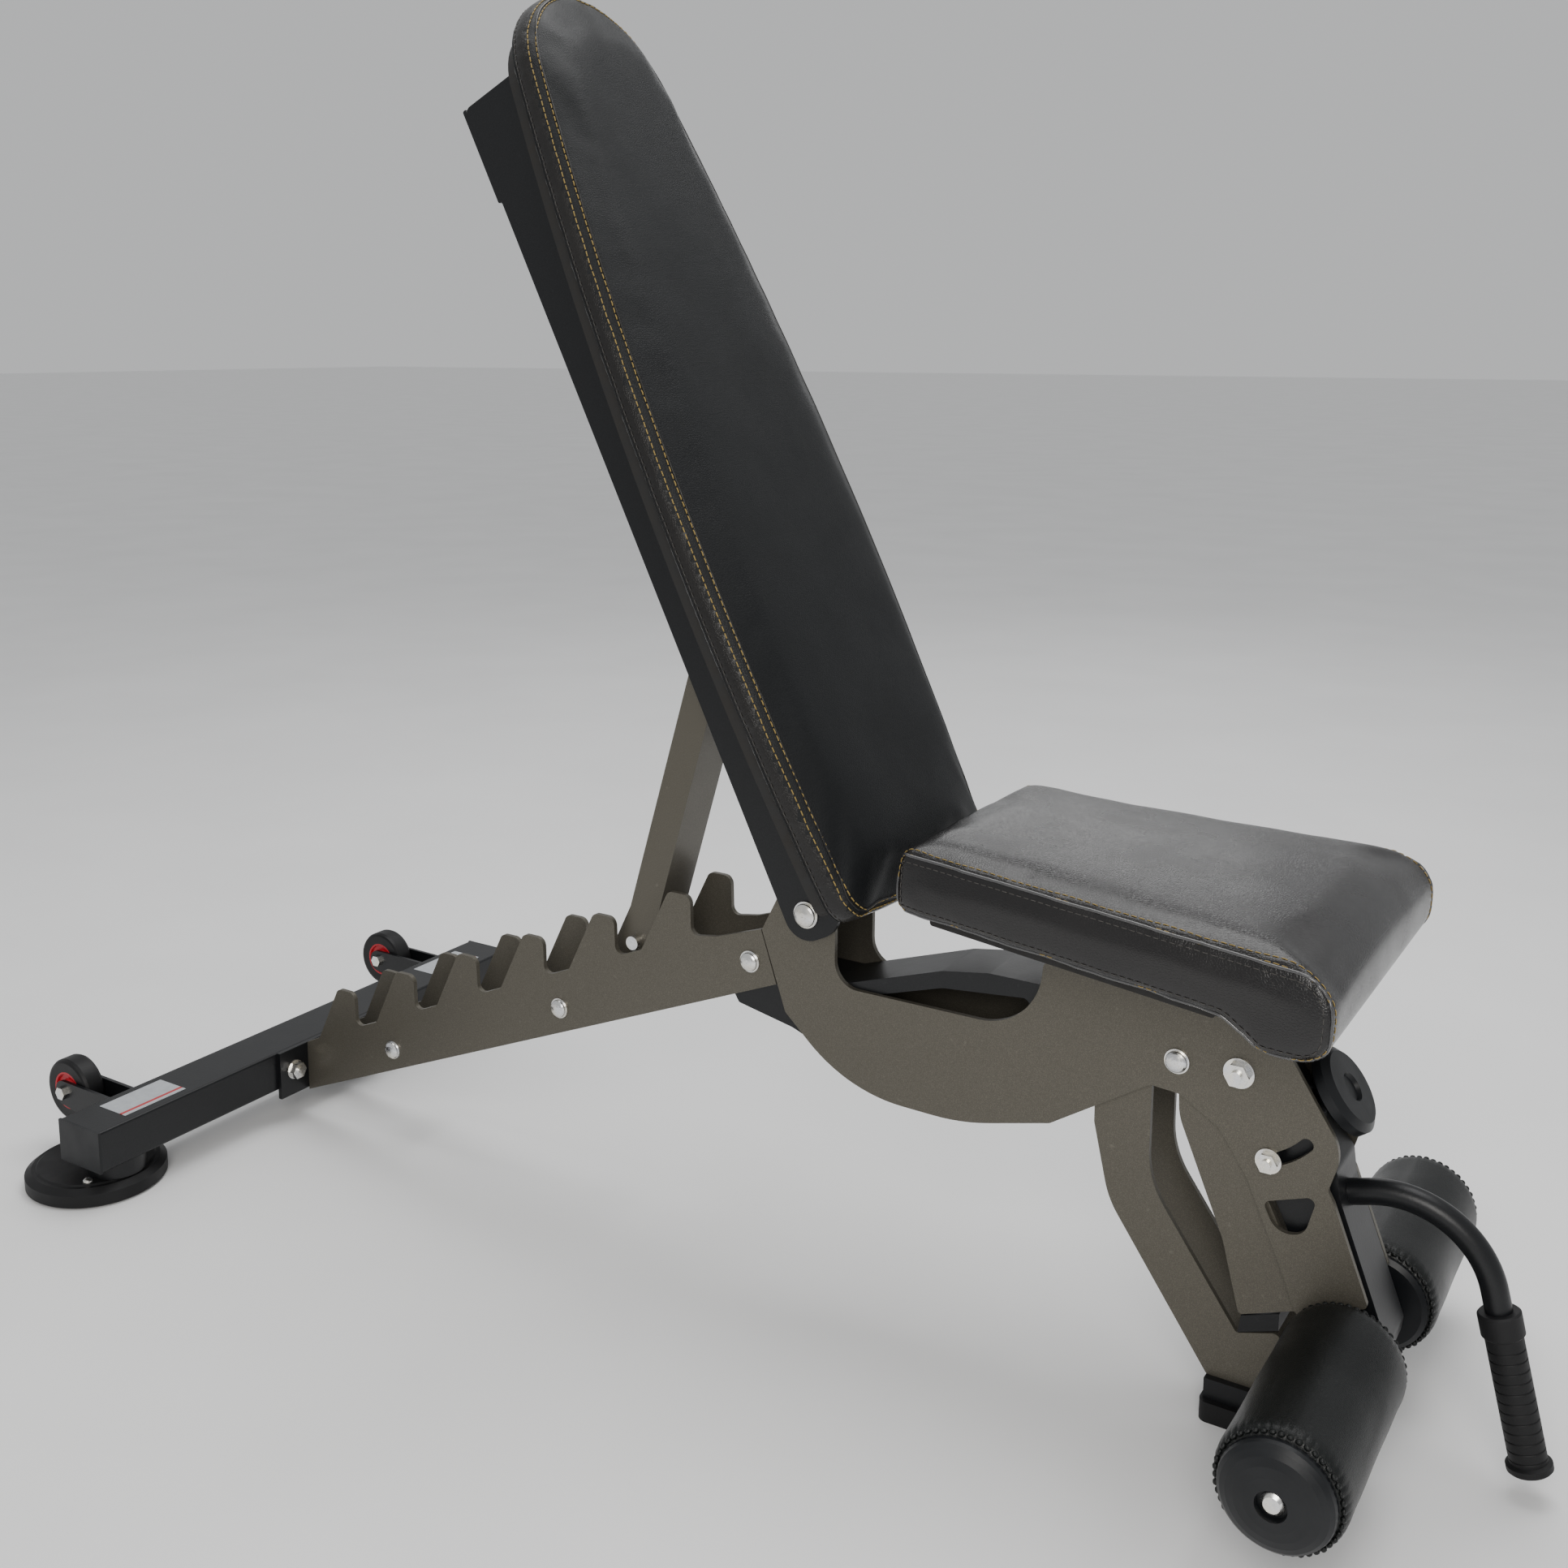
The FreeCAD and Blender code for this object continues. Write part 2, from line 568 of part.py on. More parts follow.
def seat_plan(x_low, x_high, inset):
    """Upright prism on the seat's trapezoid plan, wider at the front."""
    points = [V(x_low, -(SEAT_HALF_REAR - inset), 0), V(x_high, -(SEAT_HALF_FRONT - inset), 0),
              V(x_high, SEAT_HALF_FRONT - inset, 0), V(x_low, SEAT_HALF_REAR - inset, 0)]
    prism = Part.Face(Part.makePolygon(points + points[:1])).extrude(V(0, 0, 2 * SEAT_TOP_REAR))
    return prism


def seat_pad():
    low = SEAT_THICK
    nose_top = seat_height(SEAT_FRONT)
    nose_low = nose_top - low - SEAT_NOSE_DROP + 18
    profile = [(SEAT_REAR, seat_height(SEAT_REAR), 14), (SEAT_FRONT, nose_top, 26),
               (SEAT_FRONT - 2, nose_low, 18), (SEAT_FRONT - 50, nose_low, 10),
               (SEAT_FRONT - 82, seat_height(SEAT_FRONT - 82) - low, 14), (SEAT_REAR, seat_height(SEAT_REAR) - low, 10)]
    slab = plate(profile, -SEAT_HALF_FRONT, SEAT_HALF_FRONT)
    return slab.common(seat_plan(SEAT_REAR - 1, SEAT_FRONT + 1, 0))


def seat_board():
    top_low = seat_height(SEAT_REAR + 25) - SEAT_THICK
    top_high = seat_height(SEAT_FRONT - 94) - SEAT_THICK
    profile = [(SEAT_REAR + 25, top_low, 0), (SEAT_FRONT - 94, top_high, 0),
               (SEAT_FRONT - 94, top_high - SEAT_BOARD_THICK, 3), (SEAT_REAR + 25, top_low - SEAT_BOARD_THICK, 3)]
    slab = plate(profile, -SEAT_HALF_FRONT, SEAT_HALF_FRONT)
    return slab.common(seat_plan(SEAT_REAR, SEAT_FRONT, 22))


def seat_underside(x):
    return seat_height(x) - SEAT_THICK - SEAT_BOARD_THICK


def seat_bracket():
    """Welded saddle: a top plate under the board on a folded channel between the main plates."""
    wall = SEAT_BRACKET_WALL
    rear, front = SEAT_SADDLE_X
    top = [(rear, seat_underside(rear), 0), (front, seat_underside(front), 0),
           (front, seat_underside(front) - wall, 0), (rear, seat_underside(rear) - wall, 0)]
    saddle = plate(top, -SEAT_SADDLE_HALF, SEAT_SADDLE_HALF)
    low, high = SEAT_BRACKET_X
    web = [(low, SEAT_BRACKET_LOW, 6), (low, seat_underside(low) - wall, 0),
           (high, seat_underside(high) - wall, 0), (high, SEAT_BRACKET_LOW, 6)]
    channel = plate(web, -MAIN_IN, MAIN_IN)
    core = [(low + wall, SEAT_BRACKET_LOW - 1, 0), (low + wall, seat_underside(low) - 2 * wall, 0),
            (high - wall, seat_underside(high) - 2 * wall, 0), (high - wall, SEAT_BRACKET_LOW - 1, 0)]
    hollow = plate(core, -MAIN_IN + wall, MAIN_IN - wall)
    return saddle.fuse(channel.cut(hollow)).removeSplitter()


def seat_screws():
    rear, front = SEAT_SADDLE_X
    lean = V(-sin(radians(SEAT_SLOPE)), 0, -cos(radians(SEAT_SLOPE)))
    heads = []
    for x in (rear + 20, front - 12):
        for y in (-SEAT_SADDLE_HALF + 17, SEAT_SADDLE_HALF - 17):
            heads.append(turned(dome_head(7, 4), V(x, y, seat_underside(x) - SEAT_BRACKET_WALL), lean))
    return Part.makeCompound(heads)


# ================================================================ backrest
def back_rail():
    low = FRAME_HALF + SIDE_GAP
    lobe = -RAIL_REAR
    outline = [(-lobe, RAIL_REAR, lobe * 0.98), (RAIL_TOP, RAIL_REAR, 6), (RAIL_TOP, RAIL_FRONT, 6),
               (18, RAIL_FRONT, 10), (-lobe, 20, 26)]
    rail = back_plate(outline, low, low + RAIL_THICK)
    rail = rail.cut(rod(HINGE, HINGE_PIN + RUN, low - 1, low + RAIL_THICK + 1))
    return rail.cut(rod(back_point(*STRUT_TOP_UN), STRUT_PIVOT_PIN, low - 1, low + RAIL_THICK + 1))


def back_cross_straps():
    inner = FRAME_HALF + SIDE_GAP
    straps = []
    for u in STRAP_AT:
        rear = RAIL_FRONT - STRAP_THICK
        outline = [(u - STRAP_HALF, rear, 0), (u + STRAP_HALF, rear, 0),
                   (u + STRAP_HALF, RAIL_FRONT, 0), (u - STRAP_HALF, RAIL_FRONT, 0)]
        straps.append(back_plate(outline, -inner, inner))
    return Part.makeCompound(straps)


def back_tie_plate():
    inner = FRAME_HALF + SIDE_GAP
    low, high = TIE_U
    outline = [(low, RAIL_REAR, 0), (high, RAIL_REAR, 0), (high, RAIL_REAR + TIE_THICK, 0),
               (low, RAIL_REAR + TIE_THICK, 0)]
    return back_plate(outline, -inner, inner)


def head_plate():
    """Cover across the rear of the rails at the head end."""
    outer = FRAME_HALF + SIDE_GAP + RAIL_THICK
    low = RAIL_TOP - HEAD_PLATE_LENGTH
    rear = RAIL_REAR - HEAD_PLATE_THICK
    outline = [(low, rear, 2), (RAIL_TOP, rear, 2), (RAIL_TOP, RAIL_REAR, 0), (low, RAIL_REAR, 0)]
    return back_plate(outline, -outer, outer)


def back_board():
    return back_slab(BOARD_INSET, RAIL_FRONT, PAD_BASE, 12)


def back_pad():
    """Simple closed stand-in for the stuffed pad: side panel and a low crown with softened edges."""
    edge = back_slab(0, PAD_BASE, PAD_BASE + BACK_EDGE, 26)
    crown = back_slab(BACK_CROWN, PAD_BASE + BACK_EDGE, PAD_BASE + BACK_EDGE + BACK_CROWN, 18)
    return edge.fuse(crown).removeSplitter()


def back_screws():
    lean = radians(BACK_ANGLE)
    heads = []
    for u in STRAP_AT:
        for y in (-20, 20):
            seat = at_back(u, y, RAIL_FRONT - STRAP_THICK)
            heads.append(turned(dome_head(6, 4), seat, V(-sin(lean), 0, -cos(lean))))
    tie = at_back(sum(TIE_U) / 2, 0, RAIL_REAR)
    heads.append(turned(dome_head(7, 6), tie, V(-sin(lean), 0, -cos(lean))))
    return Part.makeCompound(heads)


# ================================================================ strut
def strut_pivot_bolt():
    return through_bolt(back_point(*STRUT_TOP_UN), STRUT_PIVOT_PIN, FRAME_HALF + SIDE_GAP + RAIL_THICK)


def strut_body():
    """Square tube between the rails, cut to a round at both ends and bored for its two pins."""
    top = back_point(*STRUT_TOP_UN)
    low = STRUT_PIN_AT
    length = sqrt((top[0] - low[0]) ** 2 + (top[1] - low[1]) ** 2)
    half = STRUT_DEPTH / 2
    lean = atan2(low[0] - top[0], low[1] - top[1])

    def along(distance, across):
        return V(top[0] + distance * sin(lean) + across * cos(lean), 0,
                 top[1] + distance * cos(lean) - across * sin(lean))

    def profile(inset, extra, corner):
        start, end, edge = -half - extra, length + half + extra, half - inset
        return [(start, -edge, corner), (start, edge, corner), (end, edge, corner), (end, -edge, corner)]

    solid = Part.Face(rounded_wire(profile(0, 0, half * 0.6), along))
    solid.translate(V(0, -STRUT_WIDTH / 2, 0))
    solid = solid.extrude(V(0, STRUT_WIDTH, 0))
    core = Part.Face(rounded_wire(profile(STRUT_WALL, TOUCH_GAP, 0), along))
    core.translate(V(0, -STRUT_WIDTH / 2 + STRUT_WALL, 0))
    solid = solid.cut(core.extrude(V(0, STRUT_WIDTH - 2 * STRUT_WALL, 0)))
    solid = solid.cut(rod(top, STRUT_PIVOT_PIN + RUN, -STRUT_WIDTH, STRUT_WIDTH))
    return solid.cut(rod(low, STRUT_PIN_RADIUS, -STRUT_WIDTH, STRUT_WIDTH))


def strut_pin():
    reach = MAIN_IN - TOUCH_GAP
    return rod(STRUT_PIN_AT, STRUT_PIN_RADIUS, -reach, reach)


# ================================================================ leg hold
def holder_pivot_bolt():
    return through_bolt(HOLD_PIVOT, HOLD_PIN, FRAME_HALF, "hex")


def holder_spacers():
    """Washers that keep the post in the middle between the main plates."""
    gap = 0.2
    ring = tube(HOLD_PIVOT, 12.0, HOLD_PIN, POST_HALF + gap, MAIN_IN)
    return both_sides(ring)


def guide_bolt():
    """Bolt through the post whose washers slide over the outside of the main plates."""
    return through_bolt(HOLD_GUIDE, GUIDE_PIN, FRAME_HALF + 0.3, "hex")


def front_post():
    """Folded channel: sloping top wall, long front wall and two cheeks that carry pivot, guide and axle."""
    low, high = POST_SLOPE
    outline = [(1060, high[1], 16), (*high, 8), (*low, 10), (1163, 219, 10), (1207, 104, 8),
               (1204, 76, 20), (1156, 76, 20), (1154, 118, 10), (1100, 232, 30), (1070, 268, 12)]
    solid = plate(outline, -POST_HALF, POST_HALF)
    hollow = [(1040, 345, 0), (1091, 322, 4), (1154, 236, 6), (1157, 219, 6), (1198, 112, 0), (1198, 50, 0),
              (1140, 50, 0), (1090, 232, 0), (1040, 268, 0)]
    solid = solid.cut(plate(hollow, -POST_HALF + POST_WALL, POST_HALF - POST_WALL))
    solid = solid.cut(rod(HOLD_PIVOT, HOLD_PIN + RUN, -POST_HALF - 1, POST_HALF + 1))
    for at, radius in ((HOLD_GUIDE, GUIDE_PIN), (AXLE_AT, AXLE_RADIUS)):
        solid = solid.cut(rod(at, radius, -POST_HALF - 1, POST_HALF + 1))
    bore = Part.makeCylinder(PLUNGER + RUN, 60, knob_place(-30), knob_axis())
    return solid.cut(bore)


def knob_axis():
    low, high = POST_SLOPE
    slope = V(low[0] - high[0], 0, low[1] - high[1]).normalize()
    return V(-slope.z, 0, slope.x)


def knob_place(distance):
    return V(KNOB_FOOT[0], 0, KNOB_FOOT[1]) + knob_axis() * distance


def plunger_housing():
    profile = [(0, PLUNGER + RUN), (0, 14), (3, 14), (3, 10), (14, 10), (14, PLUNGER + RUN)]
    return turned([(h + 0.6, r) for h, r in profile], knob_place(0), knob_axis())


def knob_plunger():
    return Part.makeCylinder(PLUNGER, 14 + KNOB_STANDOFF + 4, knob_place(-14), knob_axis())


def adjuster_knob():
    """Round knob with a bevelled rim and a hub that holds the plunger."""
    back = KNOB_STANDOFF
    front = back + KNOB_THICK
    profile = [(back, PLUNGER), (back, KNOB_RADIUS - 4), (back + 3, KNOB_RADIUS), (front - 5, KNOB_RADIUS),
               (front, KNOB_RADIUS - 6), (front, 12), (front - 3, 10), (front - 3, 0), (back + 4, 0), (back + 4, PLUNGER)]
    return turned(profile, knob_place(0), knob_axis())


def roller_axle():
    return tube(AXLE_AT, AXLE_RADIUS, AXLE_RADIUS - 2.5, -ROLLER_OUT + 4, ROLLER_OUT - 4)


def roller_foam():
    edge = 7.0
    length = ROLLER_OUT - ROLLER_IN
    bore = AXLE_RADIUS + RUN + 2.0
    profile = [(0, bore), (0, ROLLER_RADIUS - edge), (edge * 0.3, ROLLER_RADIUS - edge * 0.3),
               (edge, ROLLER_RADIUS), (length - edge, ROLLER_RADIUS), (length - edge * 0.3, ROLLER_RADIUS - edge * 0.3),
               (length, ROLLER_RADIUS - edge), (length, bore)]
    return turned(profile, V(AXLE_AT[0], ROLLER_IN, AXLE_AT[1]), V(0, 1, 0))


def roller_caps():
    """Sleeve and end plates of a roller: a flat flange inside and a domed cap with a recess outside."""
    rim = ROLLER_RADIUS - 6
    bore = AXLE_RADIUS + RUN
    shift = CAP_FLANGE
    length = ROLLER_OUT - ROLLER_IN + shift
    profile = [(0, bore), (0, rim - 4), (shift * 0.5, rim), (shift, rim), (shift, bore + 2), (length, bore + 2),
               (length, rim), (length + 3, rim)]
    steps = 6
    recess = 11.0
    for step in range(1, steps + 1):
        turn = radians(74 * step / steps)
        profile.append((length + 3 + (CAP_HEIGHT - 3) * sin(turn) / sin(radians(74)), rim * cos(turn)))
    top = length + CAP_HEIGHT
    profile += [(top - 6, recess), (top - 6, 6.0 + RUN), (length - 4, 6.0 + RUN), (length - 4, bore)]
    return turned(profile, V(AXLE_AT[0], ROLLER_IN - shift, AXLE_AT[1]), V(0, 1, 0))


def roller_screws():
    tip = ROLLER_OUT - 4
    head_at = ROLLER_OUT + CAP_HEIGHT - 5.8
    shank = turned([(tip - 30, 0), (tip - 30, 6), (head_at, 6), (head_at, 8.5), (head_at + 2, 8.5),
                    (head_at + 4, 6), (head_at + 4, 0)], V(AXLE_AT[0], 0, AXLE_AT[1]), V(0, 1, 0))
    return both_sides(shank)


# ================================================================ handle
def handle_path():
    start = V(HANDLE_FROM[0], 0, HANDLE_FROM[1])
    corner = V(HANDLE_CORNER[0], 0, HANDLE_CORNER[1])
    end = V(HANDLE_END[0], 0, HANDLE_END[1])
    back = (start - corner).normalize()
    ahead = (end - corner).normalize()
    half = back.getAngle(ahead) / 2
    reach = HANDLE_BEND / tan(half)
    centre = corner + (back + ahead).normalize() * (HANDLE_BEND / sin(half))
    middle = centre + (corner - centre).normalize() * HANDLE_BEND
    first = corner + back * reach
    last = corner + ahead * reach
    return Part.Wire([Part.LineSegment(start, first).toShape(), Part.Arc(first, middle, last).toShape(),
                      Part.LineSegment(last, end - ahead * 4).toShape()]), back * -1, ahead


def pull_handle():
    path, out, _ = handle_path()
    start = V(HANDLE_FROM[0], 0, HANDLE_FROM[1])
    radii = (HANDLE_RADIUS, HANDLE_RADIUS - HANDLE_WALL)
    rings = [Part.Wire(Part.makeCircle(radius, start, out)) for radius in radii]
    outer, inner = [path.makePipeShell([ring], True, False) for ring in rings]
    pipe = outer.cut(inner)
    return pipe.cut(front_post())


def handle_grip():
    """Rubber sleeve with a collar, rings along it and a wider end flange."""
    ahead = handle_path()[2]
    end = V(HANDLE_END[0], 0, HANDLE_END[1])
    body = GRIP_LENGTH - 20
    profile = [(0, 0), (0, GRIP_FLANGE - 1.5), (1.5, GRIP_FLANGE), (6, GRIP_FLANGE), (7.5, GRIP_RADIUS)]
    pitch = (body - 12) / GRIP_RIBS
    for rib in range(GRIP_RIBS):
        low = 10 + rib * pitch
        profile += [(low, GRIP_RADIUS), (low + 0.8, GRIP_RADIUS - 0.6), (low + 1.6, GRIP_RADIUS)]
    profile += [(body, GRIP_RADIUS), (body + 2, GRIP_COLLAR), (GRIP_LENGTH - 1.5, GRIP_COLLAR),
                (GRIP_LENGTH, GRIP_COLLAR - 1.5), (GRIP_LENGTH, HANDLE_RADIUS), (4, HANDLE_RADIUS), (4, 0)]
    return turned(profile, end, ahead * -1)


# ================================================================ assembly
PARTS = {
    "rear_beam": rear_beam, "beam_end_caps": beam_end_caps, "foot_posts": foot_posts, "disc_feet": disc_feet,
    "foot_bolts": foot_bolts, "wheel_brackets": wheel_brackets, "wheel_axles": wheel_axles,
    "wheel_hub_left": wheel_hub, "wheel_hub_right": lambda: mirrored(wheel_hub()),
    "wheel_tyre_left": wheel_tyre, "wheel_tyre_right": lambda: mirrored(wheel_tyre()),
    "beam_labels": beam_labels, "ladder_flange": ladder_flange, "flange_bolts": flange_bolts,
    "ladder_plate_left": ladder_plate, "ladder_plate_right": lambda: mirrored(ladder_plate()),
    "ladder_bolts": ladder_bolts, "ladder_spacers": ladder_spacers, "spine_box": spine_box,
    "main_plate_left": main_plate, "main_plate_right": lambda: mirrored(main_plate()),
    "frame_bolt": frame_bolts, "hinge_bolt": hinge_bolt, "hinge_spacer": hinge_spacer,
    "leg_plate_left": leg_plate, "leg_plate_right": lambda: mirrored(leg_plate()),
    "leg_crossbar": leg_crossbar, "front_foot_bar": front_foot_bar, "front_foot_pads": front_foot_pads,
    "seat_bracket": seat_bracket, "seat_board": seat_board, "seat_pad": seat_pad, "seat_screws": seat_screws,
    "back_rail_left": back_rail, "back_rail_right": lambda: mirrored(back_rail()),
    "back_cross_straps": back_cross_straps, "back_tie_plate": back_tie_plate,
    "head_plate": head_plate, "back_board": back_board, "back_pad": back_pad, "back_screws": back_screws,
    "strut_pivot_bolt": strut_pivot_bolt, "strut": strut_body, "strut_pin": strut_pin,
    "holder_pivot_bolt": holder_pivot_bolt, "holder_spacers": holder_spacers, "guide_bolt": guide_bolt,
    "front_post": front_post, "plunger_housing": plunger_housing, "knob_plunger": knob_plunger,
    "adjuster_knob": adjuster_knob, "roller_axle": roller_axle,
    "roller_foam_left": roller_foam, "roller_foam_right": lambda: mirrored(roller_foam()),
    "roller_caps_left": roller_caps, "roller_caps_right": lambda: mirrored(roller_caps()),
    "roller_screws": roller_screws, "pull_handle": pull_handle, "handle_grip": handle_grip,
}

for name, make in PARTS.items():
    shape = make()
    shape.translate(V(-X_CENTRE, 0, 0))
    shape.exportStep(f"parts/{name}.step")
print(len(PARTS), "parts, origin shifted by", round(X_CENTRE, 3))
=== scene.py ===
"""Looks of the adjustable weight bench: stitched cushions, gathered rollers, powder coat, light and camera.

Everything is in metres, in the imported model's frame: +X towards the leg rollers, +Z up, the floor at z = 0.
"""

import json
from math import cos, pi, radians, sin, sqrt, tau

import bmesh
import bpy
import numpy as np
from mathutils import Matrix, Vector
from mathutils.bvhtree import BVHTree


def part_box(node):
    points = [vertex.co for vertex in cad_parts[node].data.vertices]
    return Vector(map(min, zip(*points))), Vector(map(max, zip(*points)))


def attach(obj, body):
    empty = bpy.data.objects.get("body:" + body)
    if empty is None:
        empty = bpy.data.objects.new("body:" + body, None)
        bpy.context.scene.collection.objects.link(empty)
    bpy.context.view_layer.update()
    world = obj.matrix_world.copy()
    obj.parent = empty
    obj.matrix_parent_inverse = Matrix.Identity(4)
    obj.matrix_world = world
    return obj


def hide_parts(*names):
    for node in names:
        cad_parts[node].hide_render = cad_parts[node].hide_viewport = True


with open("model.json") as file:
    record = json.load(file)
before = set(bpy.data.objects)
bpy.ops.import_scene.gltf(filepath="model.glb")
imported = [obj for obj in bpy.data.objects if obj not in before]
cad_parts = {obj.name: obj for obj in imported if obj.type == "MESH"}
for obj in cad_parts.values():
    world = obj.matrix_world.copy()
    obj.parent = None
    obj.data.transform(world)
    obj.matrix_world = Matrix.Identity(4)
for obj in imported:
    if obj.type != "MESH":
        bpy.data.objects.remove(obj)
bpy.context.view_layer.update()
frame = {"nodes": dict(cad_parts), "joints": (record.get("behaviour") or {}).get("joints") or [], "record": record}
JOINTS = {joint["name"]: joint for joint in frame["joints"]}
MM = 0.001
STITCH_LENGTH = 4.6 * MM
STITCH_GAP = 1.9 * MM
VOXEL = 5 * MM                  # cushions are remeshed to this before they are inflated
PRESSURE = 3.0
CLOTH_FRAMES = 20
SMOOTH_ROUNDS = 16
THREAD_SIDES = 6
PAD_GAP = 0.3 * MM              # between a cushion and the board under it

# ---------------------------------------------------------------- the backrest's own axes, as in the frame
BACK_ANGLE = radians(64.0)
HINGE = Vector(JOINTS["backrest_tilt"]["pos_m"])
ALONG_BACK = Vector((-cos(BACK_ANGLE), 0.0, sin(BACK_ANGLE)))
OFF_BACK = Vector((sin(BACK_ANGLE), 0.0, cos(BACK_ANGLE)))
PAD_BASE = 79 * MM
BACK_EDGE = 31 * MM


def back_world(u, y, n):
    """Point u up the backrest, y across it and n off it, from the hinge."""
    return HINGE + ALONG_BACK * u + OFF_BACK * n + Vector((0.0, y, 0.0))


# ================================================================ mesh helpers
def new_object(name, vertices, faces, smooth=True):
    """Mesh object with its faces turned outwards."""
    mesh = bpy.data.meshes.new(name)
    mesh.from_pydata([tuple(v) for v in vertices], [], faces)
    mesh.validate()
    work = bmesh.new()
    work.from_mesh(mesh)
    bmesh.ops.recalc_face_normals(work, faces=work.faces)
    work.to_mesh(mesh)
    work.free()
    if smooth:
        mesh.polygons.foreach_set("use_smooth", [True] * len(mesh.polygons))
    piece = bpy.data.objects.new(name, mesh)
    bpy.context.scene.collection.objects.link(piece)
    return piece


def finish_piece(piece, body, material, replaced=()):
    """Give a piece its material in one slot and its body, and hide the solids that it stands for."""
    piece.data.materials.clear()
    piece.data.materials.append(material)
    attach(piece, body)
    if replaced:
        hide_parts(*replaced)


def ring_faces(first, second, count):
    """Quads between two rings of points that start at the numbers first and second."""
    return [(first + k, first + (k + 1) % count, second + (k + 1) % count, second + k) for k in range(count)]


def loft(rings, close_low=True, close_high=True):
    """Vertices and faces of a closed form from rings of equally many points."""
    count = len(rings[0])
    vertices = [point for ring in rings for point in ring]
    faces = []
    for index in range(len(rings) - 1):
        faces += ring_faces(index * count, (index + 1) * count, count)
    if close_low:
        faces.append(tuple(range(count))[::-1])
    if close_high:
        last = (len(rings) - 1) * count
        faces.append(tuple(range(last, last + count)))
    return vertices, faces


def tube_along(points, radius, sides=8, closed=True):
    """Round tube through points; closed joins its ends."""
    count = len(points)
    rings = []
    normal = None
    for index, point in enumerate(points):
        ahead = points[(index + 1) % count] if closed or index + 1 < count else point
        behind = points[index - 1] if closed or index > 0 else point
        direction = (ahead - behind).normalized()
        if normal is None:
            normal = direction.orthogonal().normalized()
        normal = (normal - direction * normal.dot(direction)).normalized()
        side = direction.cross(normal)
        rings.append([point + (normal * cos(tau * k / sides) + side * sin(tau * k / sides)) * radius
                      for k in range(sides)])
    if closed:
        vertices = [v for ring in rings for v in ring]
        faces = []
        for index in range(count):
            faces += ring_faces(index * sides, ((index + 1) % count) * sides, sides)
        return vertices, faces
    return loft(rings)


def stitch_row(path, lift, radius):
    """Short raised threads along a path of (point, outward normal), which closes on itself."""
    points = [point for point, _ in path]
    reach = [0.0]
    for index in range(len(points)):
        reach.append(reach[-1] + (points[(index + 1) % len(points)] - points[index]).length)

    def at(distance):
        distance = distance % reach[-1]
        index = int(np.searchsorted(reach, distance, side="right")) - 1
        index = min(index, len(points) - 1)
        share = (distance - reach[index]) / max(reach[index + 1] - reach[index], 1e-9)
        start, start_out = path[index]
        end, end_out = path[(index + 1) % len(points)]
        return start.lerp(end, share), start_out.lerp(end_out, share).normalized()

    vertices = []
    faces = []
    stitches = int(reach[-1] / (STITCH_LENGTH + STITCH_GAP))
    step = reach[-1] / stitches
    for number in range(stitches):
        spine = []
        for share in (0.0, 0.2, 0.5, 0.8, 1.0):
            point, out = at(number * step + share * STITCH_LENGTH)
            rise = lift * (0.15 + 0.85 * sin(pi * share))
            spine.append(point + out * rise)
        thread_points, thread_faces = tube_along(spine, radius, THREAD_SIDES, closed=False)
        shift = len(vertices)
        vertices += thread_points
        faces += [tuple(v + shift for v in face) for face in thread_faces]
    return vertices, faces


def surface_of(piece):
    graph = bpy.context.evaluated_depsgraph_get()
    return BVHTree.FromObject(piece, graph)


def bake_modifiers(piece):
    """Give the piece the mesh that its modifiers make, and drop them."""
    graph = bpy.context.evaluated_depsgraph_get()
    mesh = bpy.data.meshes.new_from_object(piece.evaluated_get(graph))
    piece.modifiers.clear()
    piece.data = mesh


def inflate(piece, cap, hold):
    """Run the cloth simulation, and keep each point within cap of where it was."""
    scene = bpy.context.scene
    start = [vertex.co.copy() for vertex in piece.data.vertices]
    pins = piece.vertex_groups.new(name="held")
    for vertex in piece.data.vertices:
        pins.add([vertex.index], 1.0 - hold(vertex.co), "REPLACE")
    cloth = piece.modifiers.new("cloth", "CLOTH")
    cloth.settings.quality = 5
    cloth.settings.use_pressure = True
    cloth.settings.uniform_pressure_force = PRESSURE
    cloth.settings.effector_weights.gravity = 0.0
    cloth.settings.vertex_group_mass = "held"
    cloth.settings.tension_stiffness = 30.0
    cloth.settings.compression_stiffness = 30.0
    cloth.settings.shear_stiffness = 10.0
    cloth.point_cache.frame_start = 1
    cloth.point_cache.frame_end = CLOTH_FRAMES
    for number in range(1, CLOTH_FRAMES + 1):
        scene.frame_set(number)
    bake_modifiers(piece)
    scene.frame_set(1)
    for vertex, rest in zip(piece.data.vertices, start):
        move = vertex.co - rest
        if move.length > cap:
            move *= cap / move.length
        vertex.co = rest + move
    piece.vertex_groups.clear()


def puff(piece, cap, hold):
    """Remesh, inflate and smooth a cushion. hold(point) is how freely a point may move, 0 to 1."""
    remesh = piece.modifiers.new("remesh", "REMESH")
    remesh.mode = "VOXEL"
    remesh.voxel_size = VOXEL
    bake_modifiers(piece)
    inflate(piece, cap, hold)
    smooth = piece.modifiers.new("smooth", "SMOOTH")
    smooth.factor = 0.5
    smooth.iterations = SMOOTH_ROUNDS
    bake_modifiers(piece)
    piece.data.polygons.foreach_set("use_smooth", [True] * len(piece.data.polygons))
    subdivision = piece.modifiers.new("subdivision", "SUBSURF")
    subdivision.levels = 1
    subdivision.render_levels = 1


